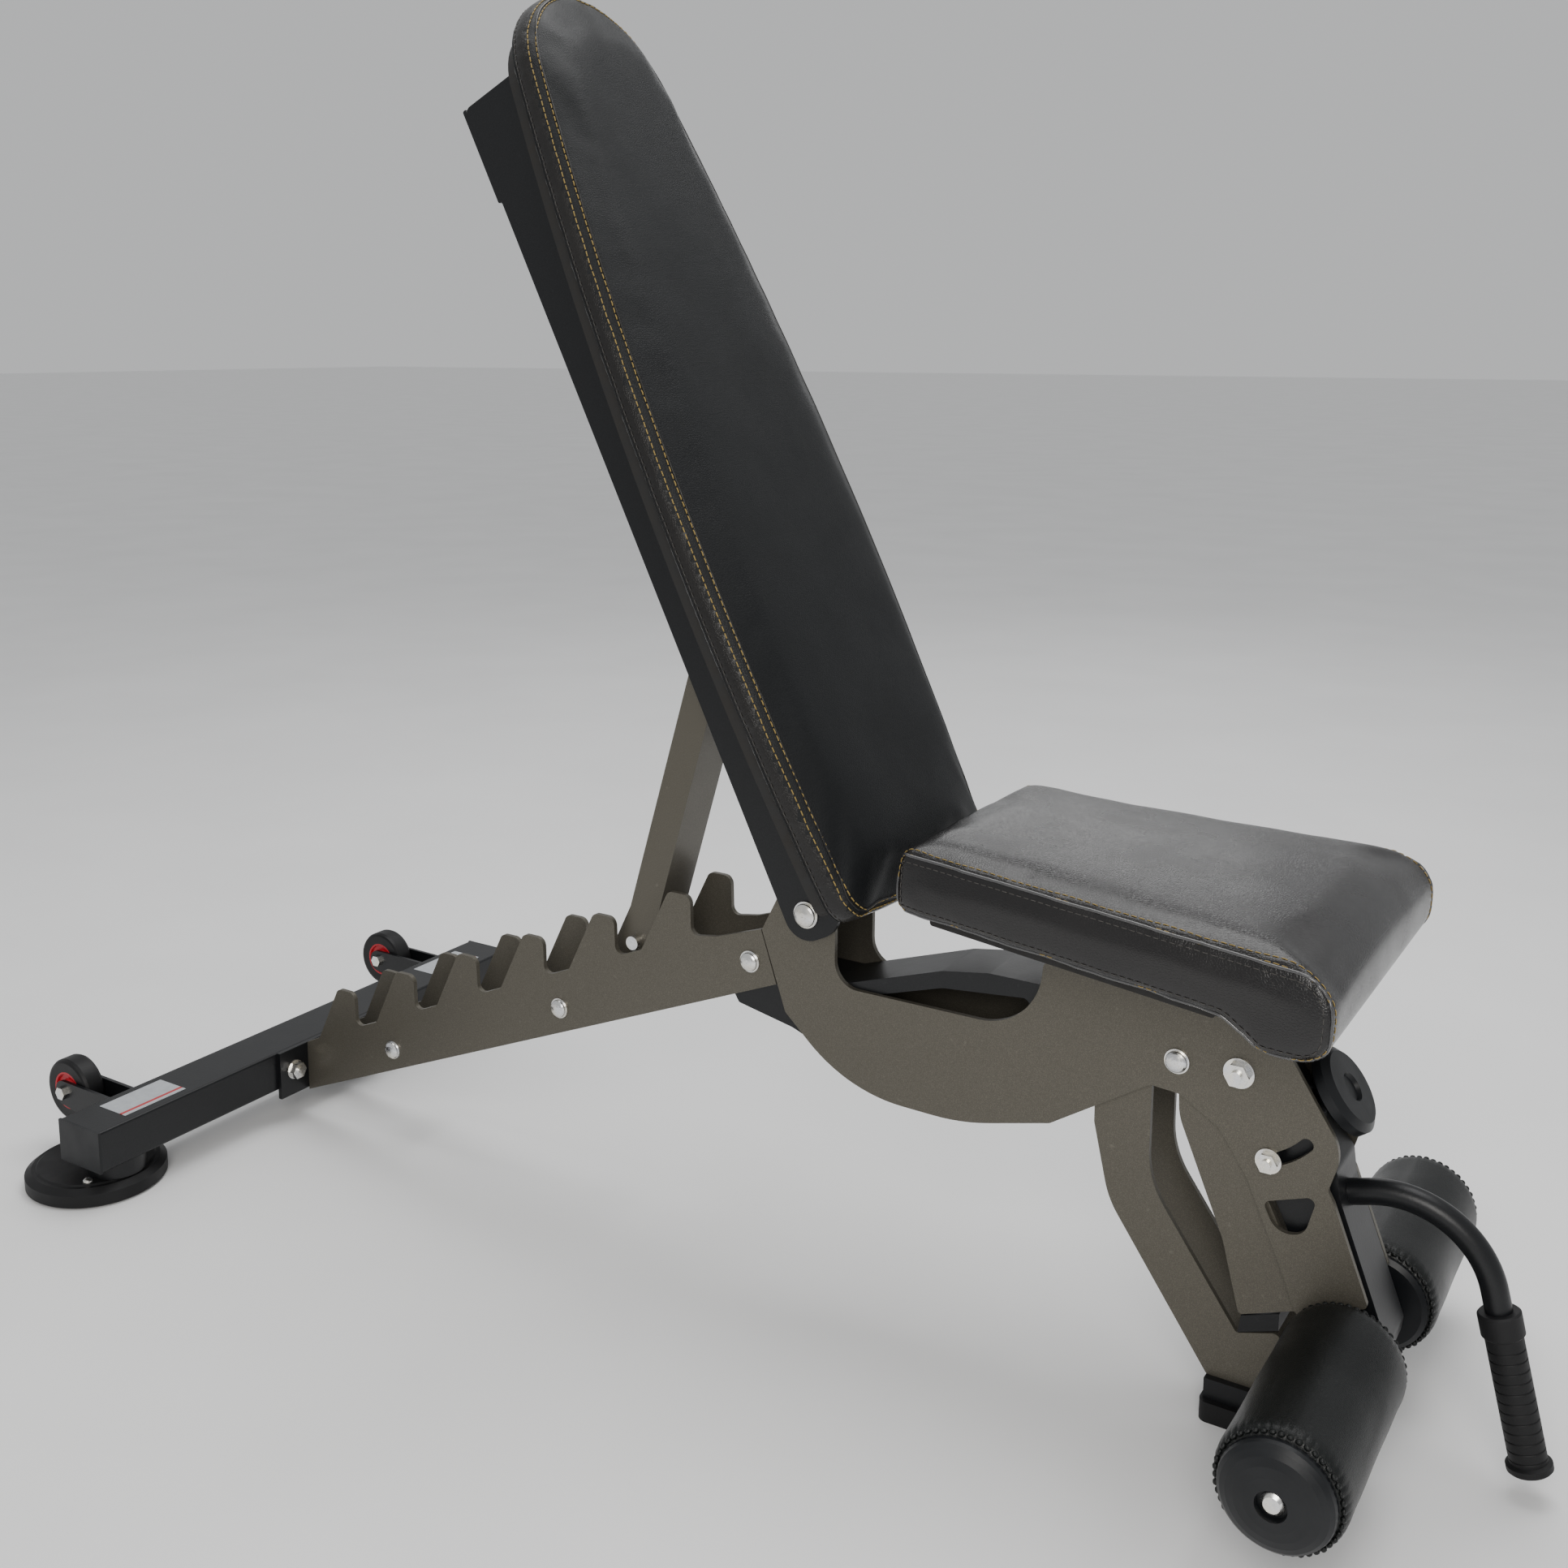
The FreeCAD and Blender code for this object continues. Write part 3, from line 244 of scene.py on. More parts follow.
# ================================================================ materials
class Nodes:
    """Adds shader nodes and links to one new material."""

    def __init__(self, name):
        self.material = bpy.data.materials.new(name)
        self.material.use_nodes = True
        self.tree = self.material.node_tree
        self.shader = self.tree.nodes["Principled BSDF"]
        self.place = self.add("ShaderNodeTexCoord").outputs["Object"]

    def add(self, kind, inputs=(), **settings):
        node = self.tree.nodes.new(kind)
        for key, value in settings.items():
            setattr(node, key, value)
        for key, value in dict(inputs).items():
            if isinstance(value, bpy.types.NodeSocket):
                self.tree.links.new(value, node.inputs[key])
            else:
                node.inputs[key].default_value = value
        return node

    def noise(self, scale, detail=3.0, rough=0.5):
        return self.add("ShaderNodeTexNoise", {"Vector": self.place, "Scale": scale, "Detail": detail,
                                               "Roughness": rough}).outputs["Fac"]

    def ramp(self, value, low, high, low_at=0.3, high_at=0.7):
        """From low, where value is low_at, to high, where it is high_at."""
        node = self.add("ShaderNodeMapRange", {"Value": value, "From Min": low_at, "From Max": high_at,
                                               "To Min": low, "To Max": high})
        return node.outputs["Result"]

    def blend(self, share, first, second):
        node = self.add("ShaderNodeMix", data_type="RGBA")
        self.connect(share, node.inputs[0])
        for value, socket in ((first, node.inputs[6]), (second, node.inputs[7])):
            self.connect(value, socket)
        return node.outputs[2]

    def connect(self, value, socket):
        if isinstance(value, bpy.types.NodeSocket):
            self.tree.links.new(value, socket)
        elif isinstance(value, (tuple, list)) and len(value) == 3:
            socket.default_value = (*value, 1.0)
        else:
            socket.default_value = value

    def bump(self, height, strength, distance, normal=None):
        node = self.add("ShaderNodeBump", {"Height": height, "Strength": strength, "Distance": distance})
        if normal is not None:
            self.tree.links.new(normal, node.inputs["Normal"])
        return node.outputs["Normal"]

    def math(self, operation, first, second=0.0):
        node = self.add("ShaderNodeMath", operation=operation)
        self.connect(first, node.inputs[0])
        self.connect(second, node.inputs[1])
        return node.outputs[0]

    def finish(self, color, roughness, normal=None, **constants):
        self.connect(color, self.shader.inputs["Base Color"])
        self.connect(roughness, self.shader.inputs["Roughness"])
        if normal is not None:
            self.tree.links.new(normal, self.shader.inputs["Normal"])
        for key, value in constants.items():
            self.shader.inputs[key.replace("_", " ")].default_value = value
        return self.material


def powder_coat(name, color, fleck, rough, metal=0.0):
    """Sprayed coat: fine orange peel, metallic fleck, soft mottling and small pale scuffs."""
    n = Nodes(name)
    mottle = n.ramp(n.noise(5.0, 2.0), 0.0, 1.0, 0.3, 0.7)
    grain = n.noise(1400.0, 2.0)
    base = n.blend(n.ramp(grain, 0.0, 0.55, 0.45, 0.7), color, fleck)
    shade = tuple(channel * 0.82 for channel in color)
    base = n.blend(n.math("MULTIPLY", mottle, 0.15), base, shade)
    scuffs = n.ramp(n.noise(160.0, 6.0), 0.0, 0.5, 0.66, 0.80)
    base = n.blend(scuffs, base, tuple(channel * 1.9 + 0.01 for channel in color))
    peel = n.bump(n.noise(520.0, 2.0), 0.22, 0.0004)
    normal = n.bump(grain, 0.12, 0.0002, peel)
    roughness = n.ramp(n.noise(45.0), rough - 0.012, rough + 0.015)
    return n.finish(base, roughness, normal, Metallic=metal, Specular_IOR_Level=0.35)


def vinyl(name, color, low_color, rough, grain_size, depth, coat=0.0, wrinkle=0.0, shine=0.25):
    """Coated cloth: leather-like cells with painted shade in the creases between them, fine pores, broad soft
    sheen changes.
    """
    n = Nodes(name)
    cells = n.add("ShaderNodeTexVoronoi", {"Vector": n.place, "Scale": grain_size, "Randomness": 0.9},
                  feature="DISTANCE_TO_EDGE").outputs["Distance"]
    cells = n.ramp(cells, 0.0, 1.0, 0.0, 0.18)
    pores = n.noise(grain_size * 3.0, 3.0)
    broad = n.ramp(n.noise(7.0, 3.0), 0.0, 1.0, 0.35, 0.65)
    base = n.blend(n.math("MULTIPLY", broad, 0.6), color, low_color)
    # Painted shade: the base colour darkens in the creases between the grain cells.
    base = n.blend(n.math("MULTIPLY", n.math("SUBTRACT", 1.0, cells), 0.35), base,
                   tuple(channel * 0.5 for channel in color))
    normal = n.bump(cells, 0.28, depth)
    normal = n.bump(pores, 0.15, depth * 0.5, normal)
    if wrinkle:
        normal = n.bump(n.noise(24.0, 2.0), wrinkle, 0.002, normal)
    roughness = n.ramp(n.noise(16.0, 4.0), rough - 0.06, rough + 0.08)
    return n.finish(base, roughness, normal, Coat_Weight=coat, Coat_Roughness=0.18,
                    Specular_IOR_Level=shine)


def moulded(name, color, rough, texture=700.0, strength=0.2):
    """Moulded rubber or plastic with a fine spark-eroded texture and dusty patches."""
    n = Nodes(name)
    grain = n.noise(texture, 3.0)
    dust = n.ramp(n.noise(22.0, 5.0), 0.0, 0.4, 0.45, 0.75)
    base = n.blend(dust, color, tuple(channel * 1.7 + 0.006 for channel in color))
    roughness = n.ramp(n.noise(35.0), rough - 0.06, rough + 0.08)
    return n.finish(base, roughness, n.bump(grain, strength, 0.0003), Specular_IOR_Level=0.3)


def plated(name):
    """Bright zinc plate: faint blue and yellow cast, fine grain and dull spots."""
    n = Nodes(name)
    cast = n.ramp(n.noise(80.0, 3.0), 0.0, 1.0, 0.35, 0.65)
    base = n.blend(cast, (0.72, 0.73, 0.75), (0.80, 0.77, 0.69))
    spots = n.ramp(n.noise(400.0, 4.0), 0.0, 0.5, 0.55, 0.8)
    base = n.blend(spots, base, (0.42, 0.41, 0.39))
    normal = n.bump(n.noise(900.0), 0.12, 0.0002)
    return n.finish(base, n.ramp(n.noise(150.0), 0.16, 0.34), normal, Metallic=1.0)


def sticker(name):
    """Blank pale sticker with one plain red stripe along its front edge."""
    n = Nodes(name)
    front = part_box("beam_labels")[1].x
    across = n.add("ShaderNodeSeparateXYZ", {"Vector": n.place}).outputs["X"]
    past_rear = n.math("GREATER_THAN", across, front - 9 * MM)
    before_front = n.math("LESS_THAN", across, front - 5 * MM)
    stripe = n.math("MULTIPLY", past_rear, before_front)
    paper = n.blend(n.ramp(n.noise(120.0, 4.0), 0.0, 0.4), (0.42, 0.44, 0.46), (0.30, 0.31, 0.33))
    base = n.blend(stripe, paper, (0.42, 0.03, 0.035))
    return n.finish(base, n.ramp(n.noise(60.0), 0.3, 0.45), n.bump(n.noise(800.0), 0.1, 0.0002))


def thread(name, color):
    """Twisted sewing thread."""
    n = Nodes(name)
    twist = n.add("ShaderNodeTexWave", {"Vector": n.place, "Scale": 600.0, "Distortion": 2.0}).outputs["Fac"]
    base = n.blend(twist, color, tuple(channel * 0.55 for channel in color))
    return n.finish(base, 0.55, n.bump(twist, 0.5, 0.0003))


def stained_board(name):
    """Dark stained plywood with long grain."""
    n = Nodes(name)
    stretch = n.add("ShaderNodeMapping", {"Vector": n.place, "Scale": (4.0, 40.0, 4.0)}).outputs["Vector"]
    grain = n.add("ShaderNodeTexNoise", {"Vector": stretch, "Scale": 12.0, "Detail": 6.0}).outputs["Fac"]
    base = n.blend(n.ramp(grain, 0.0, 1.0), (0.006, 0.006, 0.006), (0.014, 0.012, 0.010))
    return n.finish(base, n.ramp(grain, 0.6, 0.8), n.bump(grain, 0.3, 0.0005))


def floor_surface(name):
    """Plain pale floor with hardly any texture."""
    n = Nodes(name)
    base = n.blend(n.ramp(n.noise(3.0, 3.0), 0.0, 1.0), (0.82, 0.82, 0.82), (0.86, 0.86, 0.86))
    return n.finish(base, 0.65, n.bump(n.noise(200.0), 0.05, 0.0003))


COAT = powder_coat("taupe_coat", (0.088, 0.081, 0.065), (0.18, 0.165, 0.135), 0.40, 0.4)
BLACK = powder_coat("black_coat", (0.005, 0.0055, 0.0065), (0.012, 0.0125, 0.014), 0.36)
PAD_VINYL = vinyl("back_vinyl", (0.0040, 0.0048, 0.0056), (0.0060, 0.0068, 0.0076), 0.50, 520.0, 0.0006)
# Painted sheen: a lighter, browner copy of the back vinyl for the cushion's sides and welt, standing in for the
# sheen the light lays there.
SIDE_SHEEN_VINYL = vinyl("side_sheen_vinyl", (0.0085, 0.0080, 0.0078), (0.013, 0.0115, 0.0100), 0.34, 520.0, 0.0006,
                   coat=0.2)
SEAT_VINYL = vinyl("seat_vinyl", (0.0055, 0.0050, 0.0052), (0.010, 0.0085, 0.0080), 0.24, 480.0, 0.0004,
                   coat=0.16, wrinkle=0.04, shine=0.42)
ROLLER_VINYL = vinyl("roller_vinyl", (0.0035, 0.0045, 0.0045), (0.0065, 0.0075, 0.0072), 0.38, 600.0, 0.0005,
                     coat=0.1, wrinkle=0.12)
RUBBER = moulded("rubber", (0.005, 0.005, 0.0055), 0.55)
PLASTIC = moulded("plastic", (0.006, 0.0068, 0.008), 0.38, 500.0, 0.12)
TYRE = moulded("tyre", (0.005, 0.005, 0.0055), 0.48, 300.0, 0.3)
RED = moulded("hub", (0.42, 0.012, 0.022), 0.28, 500.0, 0.1)
ZINC = plated("zinc")
GOLD_THREAD = thread("gold_thread", (0.36, 0.25, 0.07))
DARK_THREAD = thread("dark_thread", (0.06, 0.055, 0.05))
# Glossy piping vinyl with real gloss; its light grey base colour is painted highlight along the seat's top edge.
PIPING_HIGHLIGHT = vinyl("piping_highlight", (0.035, 0.035, 0.037), (0.055, 0.053, 0.052), 0.20, 480.0, 0.0002,
               coat=0.7, shine=0.6)

SLOT_MATERIALS = {
    "frame_coat": COAT, "black_coat": BLACK, "zinc": ZINC, "rubber_black": RUBBER, "plastic_black": PLASTIC,
    "tyre_black": TYRE, "hub_red": RED, "label": sticker("sticker"), "back_vinyl": PAD_VINYL,
    "seat_vinyl": SEAT_VINYL, "roller_vinyl": ROLLER_VINYL, "board": stained_board("board"),
}
for part in frame["record"]["subparts"]:
    mesh = frame["nodes"][part["node"]].data
    mesh.materials.clear()
    mesh.materials.append(SLOT_MATERIALS[part["material_slot"]])


# ================================================================ back pad
BACK_LOW = -15 * MM             # ends of the pad, up the backrest from the hinge
BACK_HIGH = 886 * MM
SHOULDER = 803 * MM             # where the round head starts
MIDDLE = 300 * MM               # where the pad is widest
HALF_LOW = 138 * MM             # half widths at the low end, the middle and the shoulder
HALF_MID = 152 * MM
HALF_HIGH = 103 * MM
LOW_CORNER = 34 * MM
BACK_AXIS = (BACK_LOW + 100 * MM, BACK_HIGH - 90 * MM)


def arc_through(first, middle, last, count):
    """Points on the circle through three points, first to last, last left out."""
    ax, ay = first
    bx, by = middle
    cx, cy = last
    d = 2 * (ax * (by - cy) + bx * (cy - ay) + cx * (ay - by))
    a2, b2, c2 = ax * ax + ay * ay, bx * bx + by * by, cx * cx + cy * cy
    ox = (a2 * (by - cy) + b2 * (cy - ay) + c2 * (ay - by)) / d
    oy = (a2 * (cx - bx) + b2 * (ax - cx) + c2 * (bx - ax)) / d
    radius = sqrt((ax - ox) ** 2 + (ay - oy) ** 2)
    start = np.arctan2(ay - oy, ax - ox)
    end = np.arctan2(cy - oy, cx - ox)
    through = np.arctan2(by - oy, bx - ox)
    turn = (end - start) % tau
    if (through - start) % tau > turn:
        turn -= tau
    return [(ox + radius * cos(start + turn * k / count), oy + radius * sin(start + turn * k / count))
            for k in range(count)]


def evenly(points, count):
    """Resample a closed outline at even spacing."""
    closed = np.array(points + points[:1])
    step = np.hypot(*np.diff(closed, axis=0).T)
    reach = np.concatenate([[0.0], np.cumsum(step)])
    at = np.linspace(0.0, reach[-1], count, endpoint=False)
    return [(float(np.interp(a, reach, closed[:, 0])), float(np.interp(a, reach, closed[:, 1]))) for a in at]


def back_outline(count):
    """Plan of the back pad as (u, y): bowed sides, round top, rounded bottom corners."""
    low_end = (BACK_LOW, 0.0)
    corner_start = (BACK_LOW + 5 * MM, HALF_LOW - LOW_CORNER)
    corner_middle = (BACK_LOW + LOW_CORNER * 0.30, HALF_LOW - LOW_CORNER * 0.24)
    corner_end = (BACK_LOW + LOW_CORNER, HALF_LOW + 1 * MM)
    shoulder = (SHOULDER, HALF_HIGH)
    high_end = (BACK_HIGH, 0.0)
    half = arc_through(low_end, (BACK_LOW + 1 * MM, HALF_LOW * 0.45), corner_start, 8)
    half += arc_through(corner_start, corner_middle, corner_end, 8)
    half += arc_through(corner_end, (MIDDLE, HALF_MID), shoulder, 40)
    half += arc_through(shoulder, (BACK_HIGH - 24 * MM, 66 * MM), high_end, 20)
    other = [(u, -y) for u, y in reversed(half[1:])]
    return evenly(half + [high_end] + other, count)


def nearest_on_axis(u):
    return min(max(u, BACK_AXIS[0]), BACK_AXIS[1])


def drawn_in(outline, distance):
    """Outline moved by distance towards the middle line of the pad."""
    moved = []
    for u, y in outline:
        hub = nearest_on_axis(u)
        length = sqrt((u - hub) ** 2 + y * y)
        share = max(0.0, 1.0 - distance / max(length, 1e-6)) if length > 0 else 0.0
        moved.append((hub + (u - hub) * share, y * share))
    return moved


def make_back_pad():
    outline = back_outline(220)
    rings = []
    base = PAD_BASE + PAD_GAP
    tip = PAD_BASE + BACK_EDGE
    # (inset from the outline in mm, height)
    steps = [(60, base), (20, base), (3, base), (0.6, base + 2 * MM), (1.0, base + 4 * MM),
             (0.0, base + 8 * MM), (-0.6, base + 18 * MM), (0.2, tip - 4 * MM), (1.4, tip - 0.5 * MM),
             (3.4, tip + 0.6 * MM),
             (8, tip + 3.2 * MM), (18, tip + 6.0 * MM), (36, tip + 8.2 * MM), (60, tip + 9.6 * MM),
             (90, tip + 10.4 * MM)]
    for inset, height in steps:
        ring = drawn_in(outline, inset * MM)
        rings.append([back_world(u, y, height) for u, y in ring])
    vertices, faces = loft(rings)
    piece = new_object("back_cushion", vertices, faces)

    def hold(point):
        n = (point - HINGE).dot(OFF_BACK)
        return min(1.0, max(0.0, (n - PAD_BASE - 6 * MM) / (22 * MM)))

    puff(piece, 5 * MM, hold)
    return piece


def on_back_face(tree, outline, inset):
    """Path on the cushion's front face, at an inset from the outline."""
    path = []
    for u, y in drawn_in(outline, inset):
        hit, normal, _, _ = tree.ray_cast(back_world(u, y, PAD_BASE + 90 * MM), -OFF_BACK)
        if hit is not None:
            path.append((hit, normal))
    return path


def on_back_side(tree, outline, height):
    """Path round the cushion's side panel, at a height above the board."""
    n = PAD_BASE + height
    path = []
    for u, y in outline:
        out = (back_world(u, y, n) - back_world(nearest_on_axis(u), 0.0, n)).normalized()
        hit, normal, _, _ = tree.ray_cast(back_world(u, y, n) + out * 50 * MM, -out)
        if hit is not None:
            path.append((hit, normal))
    return path


def paint_side_sheen(piece, face_axis, material):
    """Second, lighter vinyl as painted sheen on every part of the cushion that doesn't look along face_axis."""
    least_facing = 0.45
    piece.data.materials.append(material)
    for polygon in piece.data.polygons:
        if polygon.normal.dot(face_axis) < least_facing:
            polygon.material_index = 1


def back_trim(name, form, material):
    """Seam or stitches on the back cushion, from (vertices, faces)."""
    finish_piece(new_object(name, *form), "backrest", material, ["back_pad"])


def make_back_seams(piece):
    tree = surface_of(piece)
    outline = back_outline(420)
    for number, inset in enumerate((4 * MM, 9 * MM)):
        row = on_back_face(tree, outline, inset)
        back_trim(f"back_topstitch_{number + 1}", stitch_row(row, 0.7 * MM, 0.55 * MM), GOLD_THREAD)
    welt = [point + out * 0.1 * MM for point, out in on_back_side(tree, outline, BACK_EDGE - 1.5 * MM)]
    # The welt takes the lighter vinyl of the painted side sheen.
    back_trim("back_welt", tube_along(welt, 1.1 * MM), SIDE_SHEEN_VINYL)
    low_seam = [point for point, _ in on_back_side(tree, outline, 6 * MM)]
    back_trim("back_low_seam", tube_along(low_seam, 0.9 * MM), PAD_VINYL)
    side_row = on_back_side(tree, outline, 9.5 * MM)
    back_trim("back_side_stitch", stitch_row(side_row, 0.5 * MM, 0.4 * MM), DARK_THREAD)


back_cushion = make_back_pad()
finish_piece(back_cushion, "backrest", PAD_VINYL, ["back_pad"])
# Painted sheen: the lighter side vinyl on the cushion's sides.
paint_side_sheen(back_cushion, OFF_BACK, SIDE_SHEEN_VINYL)
make_back_seams(back_cushion)


# ================================================================ seat pad
SEAT_LOW, SEAT_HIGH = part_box("seat_pad")
SEAT_SLOPE = radians(3.6)
SEAT_THICK = 52 * MM
SEAT_TOP_REAR = SEAT_HIGH.z
SEAT_REAR = SEAT_LOW.x
SEAT_FRONT = SEAT_HIGH.x
SEAT_CROWN = 5 * MM
SEAT_FILL = 4 * MM              # the stuffing lifts the whole top a little above the bare form
HALF_REAR = 128 * MM
HALF_FRONT = 172 * MM


def seat_top(x):
    """Height of the bare form's top at x."""
    return SEAT_TOP_REAR - (x - SEAT_REAR) * sin(SEAT_SLOPE) / cos(SEAT_SLOPE)


def seat_half(x):
    """Half width of the seat at x."""
    share = (x - SEAT_REAR) / (SEAT_FRONT - SEAT_REAR)
    return HALF_REAR + (HALF_FRONT - HALF_REAR) * min(max(share, 0.0), 1.0)


def rounded_profile(points, per_corner=7):
    """Closed (x, z) outline with rounded corners from (x, z, radius)."""
    result = []
    count = len(points)
    for index, (x, z, radius) in enumerate(points):
        here = Vector((x, z))
        back = (Vector(points[index - 1][:2]) - here).normalized()
        ahead = (Vector(points[(index + 1) % count][:2]) - here).normalized()
        half = back.angle(ahead) / 2
        reach = radius / np.tan(half)
        centre = here + (back + ahead).normalized() * (radius / sin(half))
        first = here + back * reach - centre
        last = here + ahead * reach - centre
        turn = first.angle_signed(last)
        for k in range(per_corner):
            spin = Matrix.Rotation(-turn * (k / (per_corner - 1)), 2)
            result.append(tuple(centre + spin @ first))
    return result


def seat_profile(count):
    """Lengthwise section of the seat as (x, z): flat top and a nose that drops below the board."""
    nose_top = seat_top(SEAT_FRONT)
    nose_low = SEAT_LOW.z + 0.5 * MM
    under_front = seat_top(SEAT_FRONT - 82 * MM) - SEAT_THICK + PAD_GAP
    under_rear = seat_top(SEAT_REAR) - SEAT_THICK + PAD_GAP
    points = [(SEAT_REAR, seat_top(SEAT_REAR), 9 * MM), (SEAT_FRONT, nose_top, 30 * MM),
              (SEAT_FRONT - 2 * MM, nose_low, 24 * MM), (SEAT_FRONT - 54 * MM, nose_low, 14 * MM),
              (SEAT_FRONT - 84 * MM, under_front, 14 * MM), (SEAT_REAR, under_rear, 6 * MM)]
    return evenly(rounded_profile(points), count)


def shrink(outline, distance):
    """Each point of an outline moved towards the inside, square to the outline, by distance."""
    count = len(outline)
    moved = []
    for index, (x, z) in enumerate(outline):
        ax, az = outline[index - 2]
        bx, bz = outline[(index + 2) % count]
        length = sqrt((bx - ax) ** 2 + (bz - az) ** 2)
        moved.append((x + (bz - az) / length * distance, z - (bx - ax) / length * distance))
    return moved


def make_seat_pad():
    outline = seat_profile(200)
    edge_depth = 30 * MM
    rings = []
    # from one side to the middle: (share of the half width, inset of the section in mm)
    sides = [(1.0, 5.0), (1.0, 2.6), (0.995, 0.9), (0.985, 0.2), (0.96, 0.0), (0.9, 0.0), (0.75, 0.0),
             (0.5, 0.0), (0.25, 0.0), (0.0, 0.0)]
    order = [(-s, i) for s, i in sides] + [(s, i) for s, i in reversed(sides[:-1])]
    for share, inset in order:
        crown = SEAT_CROWN * (1 - abs(share) ** 2.5)
        ring = []
        for x, z in shrink(outline, inset * MM):
            top_share = min(1.0, max(0.0, (z - seat_top(x) + edge_depth) / edge_depth))
            ring.append(Vector((x, share * seat_half(x), z + (crown + SEAT_FILL) * top_share)))
        rings.append(ring)
    vertices, faces = loft(rings)
    piece = new_object("seat_cushion", vertices, faces)

    def hold(point):
        return min(1.0, max(0.0, (point.z - (seat_top(point.x) - SEAT_THICK) - 8 * MM) / (24 * MM)))

    puff(piece, 4 * MM, hold)
    return piece


def seat_side_path(tree, inset, side):
    """Path round one side panel of the seat, at an inset from the section's outline."""
    path = []
    for x, z in shrink(seat_profile(360), inset):
        hit, normal, _, _ = tree.ray_cast(Vector((x, side * 0.3, z)), Vector((0, -side, 0)))
        if hit is not None and abs(hit.y) > seat_half(x) * 0.9:
            path.append((hit, normal))
    return path


def seat_edge_path(tree, side, inset):
    """Path round the seat beside one side panel: over the top, the nose, the underside and the rear."""
    path = []
    outline = seat_profile(360)
    for (x, z), (outer_x, outer_z) in zip(outline, shrink(outline, -50 * MM)):
        outward = Vector((outer_x - x, 0.0, outer_z - z)).normalized()
        y = side * (seat_half(x) - inset)
        hit, normal, _, _ = tree.ray_cast(Vector((x, y, z)) + outward * 40 * MM, -outward)
        if hit is not None:
            path.append((hit, normal))
    return path


def seat_trim(name, form, material):
    """Seam or stitches on the seat cushion, from (vertices, faces)."""
    finish_piece(new_object(name, *form), "frame", material, ["seat_pad"])


def make_seat_seams(piece):
    tree = surface_of(piece)
    for side, word in ((-1, "right"), (1, "left")):
        welt = [point + out * 0.2 * MM for point, out in seat_side_path(tree, 1.8 * MM, side)]
        # Piping with painted highlight in its lighter base colour.
        seat_trim(f"seat_welt_{word}", tube_along(welt, 1.4 * MM), PIPING_HIGHLIGHT)
        for number, inset in enumerate((6 * MM, 10 * MM)):
            thread = stitch_row(seat_edge_path(tree, side, inset), 0.5 * MM, 0.38 * MM)
            seat_trim(f"seat_topstitch_{word}_{number + 1}", thread, GOLD_THREAD)
        row = seat_side_path(tree, 7 * MM, side)
        seat_trim(f"seat_side_stitch_{word}", stitch_row(row, 0.5 * MM, 0.4 * MM), DARK_THREAD)


seat_cushion = make_seat_pad()
finish_piece(seat_cushion, "frame", SEAT_VINYL, ["seat_pad"])
make_seat_seams(seat_cushion)


# ================================================================ foam rollers
ROLLER_PLEATS = 46
ROLLER_BORE = 13 * MM
PLEAT_DEPTH = 1.1 * MM
PLEAT_REACH = 13 * MM           # how far the pleats run in from each end
SAG = 0.35 * MM                 # unevenness of the sleeve between its ends
BEAD_LENGTH = 2.55 * MM         # half size of a gathered fold, round the roller and across it
BEAD_RADIUS = 2.1 * MM


def sleeve_profile(radius, length):
    """(distance from one end, radius) along the sleeve, with both ends rounded over."""
    end = [(0.0, ROLLER_BORE), (0.0, radius - 13 * MM), (0.6 * MM, radius - 8 * MM),
           (2 * MM, radius - 4.5 * MM), (5 * MM, radius - 1.6 * MM), (9 * MM, radius - 0.3 * MM),
           (15 * MM, radius), (30 * MM, radius)]
    steps = 10
    middle = [(30 * MM + (length - 60 * MM) * k / steps, radius) for k in range(1, steps)]
    return end + middle + [(length - at, size) for at, size in reversed(end)]


def sleeve_radius(at, size, near_end, turn):
    """Radius of the sleeve at an angle: pleated near the ends, slightly uneven between them."""
    fold = PLEAT_DEPTH * max(0.0, 1 - near_end / PLEAT_REACH) * (1.0 if size > ROLLER_BORE + 1 * MM else 0.0)
    wave = abs(sin(turn * ROLLER_PLEATS / 2)) ** 0.7
    if near_end > 20 * MM:
        return size - fold * (1 - wave) + SAG * sin(3 * turn + at * 31) * sin(at * 44) - SAG
    return size - fold * (1 - wave)


def roller(word, side):
    """Vinyl sleeve over foam, gathered at both ends into a ring of small folds."""
    low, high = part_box(f"roller_foam_{word}")
    centre = Vector(((low.x + high.x) / 2, 0.0, (low.z + high.z) / 2))
    radius = (high.z - low.z) / 2
    length = high.y - low.y
    around = ROLLER_PLEATS * 6
    rings = []
    for at, size in sleeve_profile(radius, length):
        near_end = min(at, length - at)
        ring = []
        for k in range(around):
            turn = tau * k / around
            reach = sleeve_radius(at, size, near_end, turn)
            ring.append(centre + Vector((reach * cos(turn), low.y + at, reach * sin(turn))))
        rings.append(ring)
    vertices, faces = loft(rings, False, False)
    faces += ring_faces((len(rings) - 1) * around, 0, around)
    piece = new_object(f"roller_{word}", vertices, faces)
    finish_piece(piece, f"roller_{word}", ROLLER_VINYL, [f"roller_foam_{word}"])
    outer_face, inner_face = (high.y, low.y) if side > 0 else (low.y, high.y)
    for end, face, out in (("outer", outer_face, side), ("inner", inner_face, -side)):
        name = f"roller_{word}_gather_{end}"
        beads(name, centre, radius - 3.4 * MM, face - out * 2.2 * MM, f"roller_{word}")


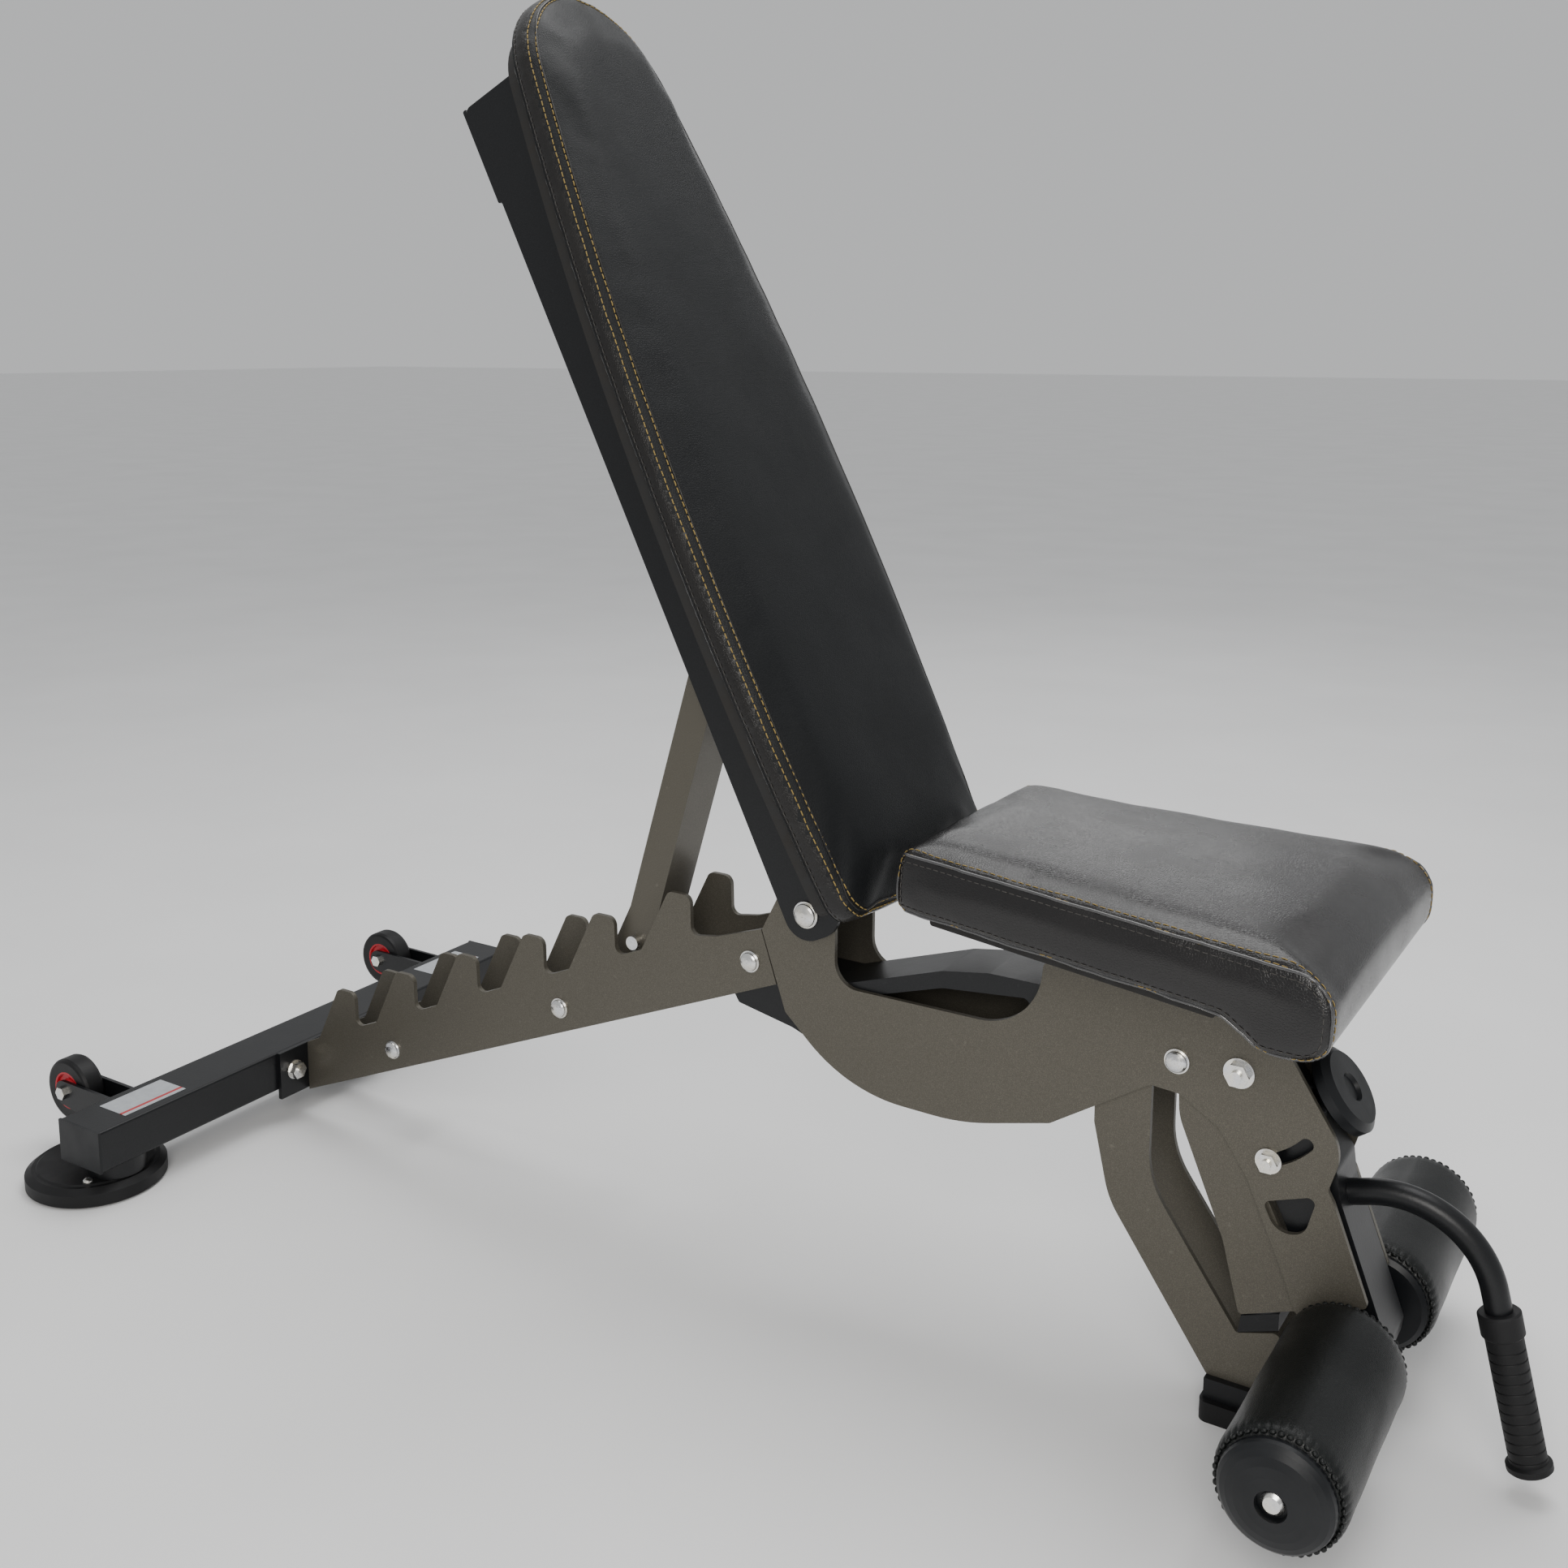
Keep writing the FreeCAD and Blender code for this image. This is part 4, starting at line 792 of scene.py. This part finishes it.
def beads(name, centre, radius, y, body):
    """Ring of small rounded folds where the sleeve is gathered."""
    vertices = []
    faces = []
    rows, sides = 5, 8
    across = Vector((0.0, 1.0, 0.0))
    for number in range(ROLLER_PLEATS):
        turn = tau * (number + 0.5) / ROLLER_PLEATS
        out = Vector((cos(turn), 0.0, sin(turn)))
        along = Vector((-sin(turn), 0.0, cos(turn)))
        middle = centre + out * radius + Vector((0.0, y, 0.0))
        shift = len(vertices)
        thickness = BEAD_RADIUS * (1.0 + 0.12 * sin(number * 2.399))
        for row in range(rows):
            polar = pi * (row + 0.5) / rows
            for k in range(sides):
                angle = tau * k / sides
                spoke = out * cos(angle) + across * sin(angle)
                place = along * (cos(polar) * BEAD_LENGTH) + spoke * (sin(polar) * thickness)
                vertices.append(middle + place)
        for row in range(rows - 1):
            faces += ring_faces(shift + row * sides, shift + (row + 1) * sides, sides)
        faces.append(tuple(shift + k for k in range(sides))[::-1])
        faces.append(tuple(shift + (rows - 1) * sides + k for k in range(sides)))
    finish_piece(new_object(name, vertices, faces), body, ROLLER_VINYL)


roller("left", 1)
roller("right", -1)


# ================================================================ floor, light and camera
FLOOR_HALF = 40.0
CAMERA_PLACE = (0.8695, -1.3295, 0.8886)
CAMERA_AZIMUTH = radians(32.63)
CAMERA_PITCH = radians(9.87)    # downwards
CAMERA_LENS = 39.04
CAMERA_SHIFT = (0.0202, -0.0950)


def make_floor():
    half = FLOOR_HALF
    corners = [(-half, -half, 0), (half, -half, 0), (half, half, 0), (-half, half, 0)]
    floor = new_object("floor", corners, [(0, 1, 2, 3)], smooth=False)
    floor.data.materials.append(floor_surface("floor"))


def area_light(name, place, aim, size, power, color=(1.0, 1.0, 1.0)):
    """Soft rectangular lamp at place that faces aim."""
    light = bpy.data.lights.new(name, "AREA")
    light.shape = "RECTANGLE"
    light.size, light.size_y = size
    light.energy = power
    light.color = color
    lamp = bpy.data.objects.new(name, light)
    lamp.location = place
    lamp.visible_camera = False
    lamp.rotation_euler = (Vector(aim) - Vector(place)).to_track_quat("-Z", "Y").to_euler()
    bpy.context.scene.collection.objects.link(lamp)


def make_world():
    world = bpy.data.worlds.new("studio")
    world.use_nodes = True
    background = world.node_tree.nodes["Background"]
    background.inputs["Color"].default_value = (0.95, 0.96, 0.97, 1.0)
    background.inputs["Strength"].default_value = 0.60
    bpy.context.scene.world = world


def make_camera():
    forward = Vector((-sin(CAMERA_AZIMUTH) * cos(CAMERA_PITCH), cos(CAMERA_AZIMUTH) * cos(CAMERA_PITCH),
                      -sin(CAMERA_PITCH)))
    right = Vector((cos(CAMERA_AZIMUTH), sin(CAMERA_AZIMUTH), 0.0))
    up = right.cross(forward)
    data = bpy.data.cameras.new("camera")
    data.sensor_width = 36.0
    data.lens = CAMERA_LENS
    data.shift_x, data.shift_y = CAMERA_SHIFT
    camera = bpy.data.objects.new("camera", data)
    turn = Matrix((right, up, -forward)).transposed()
    camera.matrix_world = Matrix.Translation(CAMERA_PLACE) @ turn.to_4x4()
    bpy.context.scene.collection.objects.link(camera)
    bpy.context.scene.camera = camera


make_floor()
area_light("key", (1.1, -2.0, 1.5), (0.25, 0.0, 0.40), (1.1, 1.1), 34.0, (1.0, 0.97, 0.93))
area_light("top", (0.1, 0.6, 3.0), (0.2, 0.0, 0.4), (2.6, 2.0), 62.0)
area_light("rear_card", (-1.1, 3.4, 1.9), (0.3, 0.0, 0.45), (1.6, 0.9), 7.0)
make_world()
make_camera()
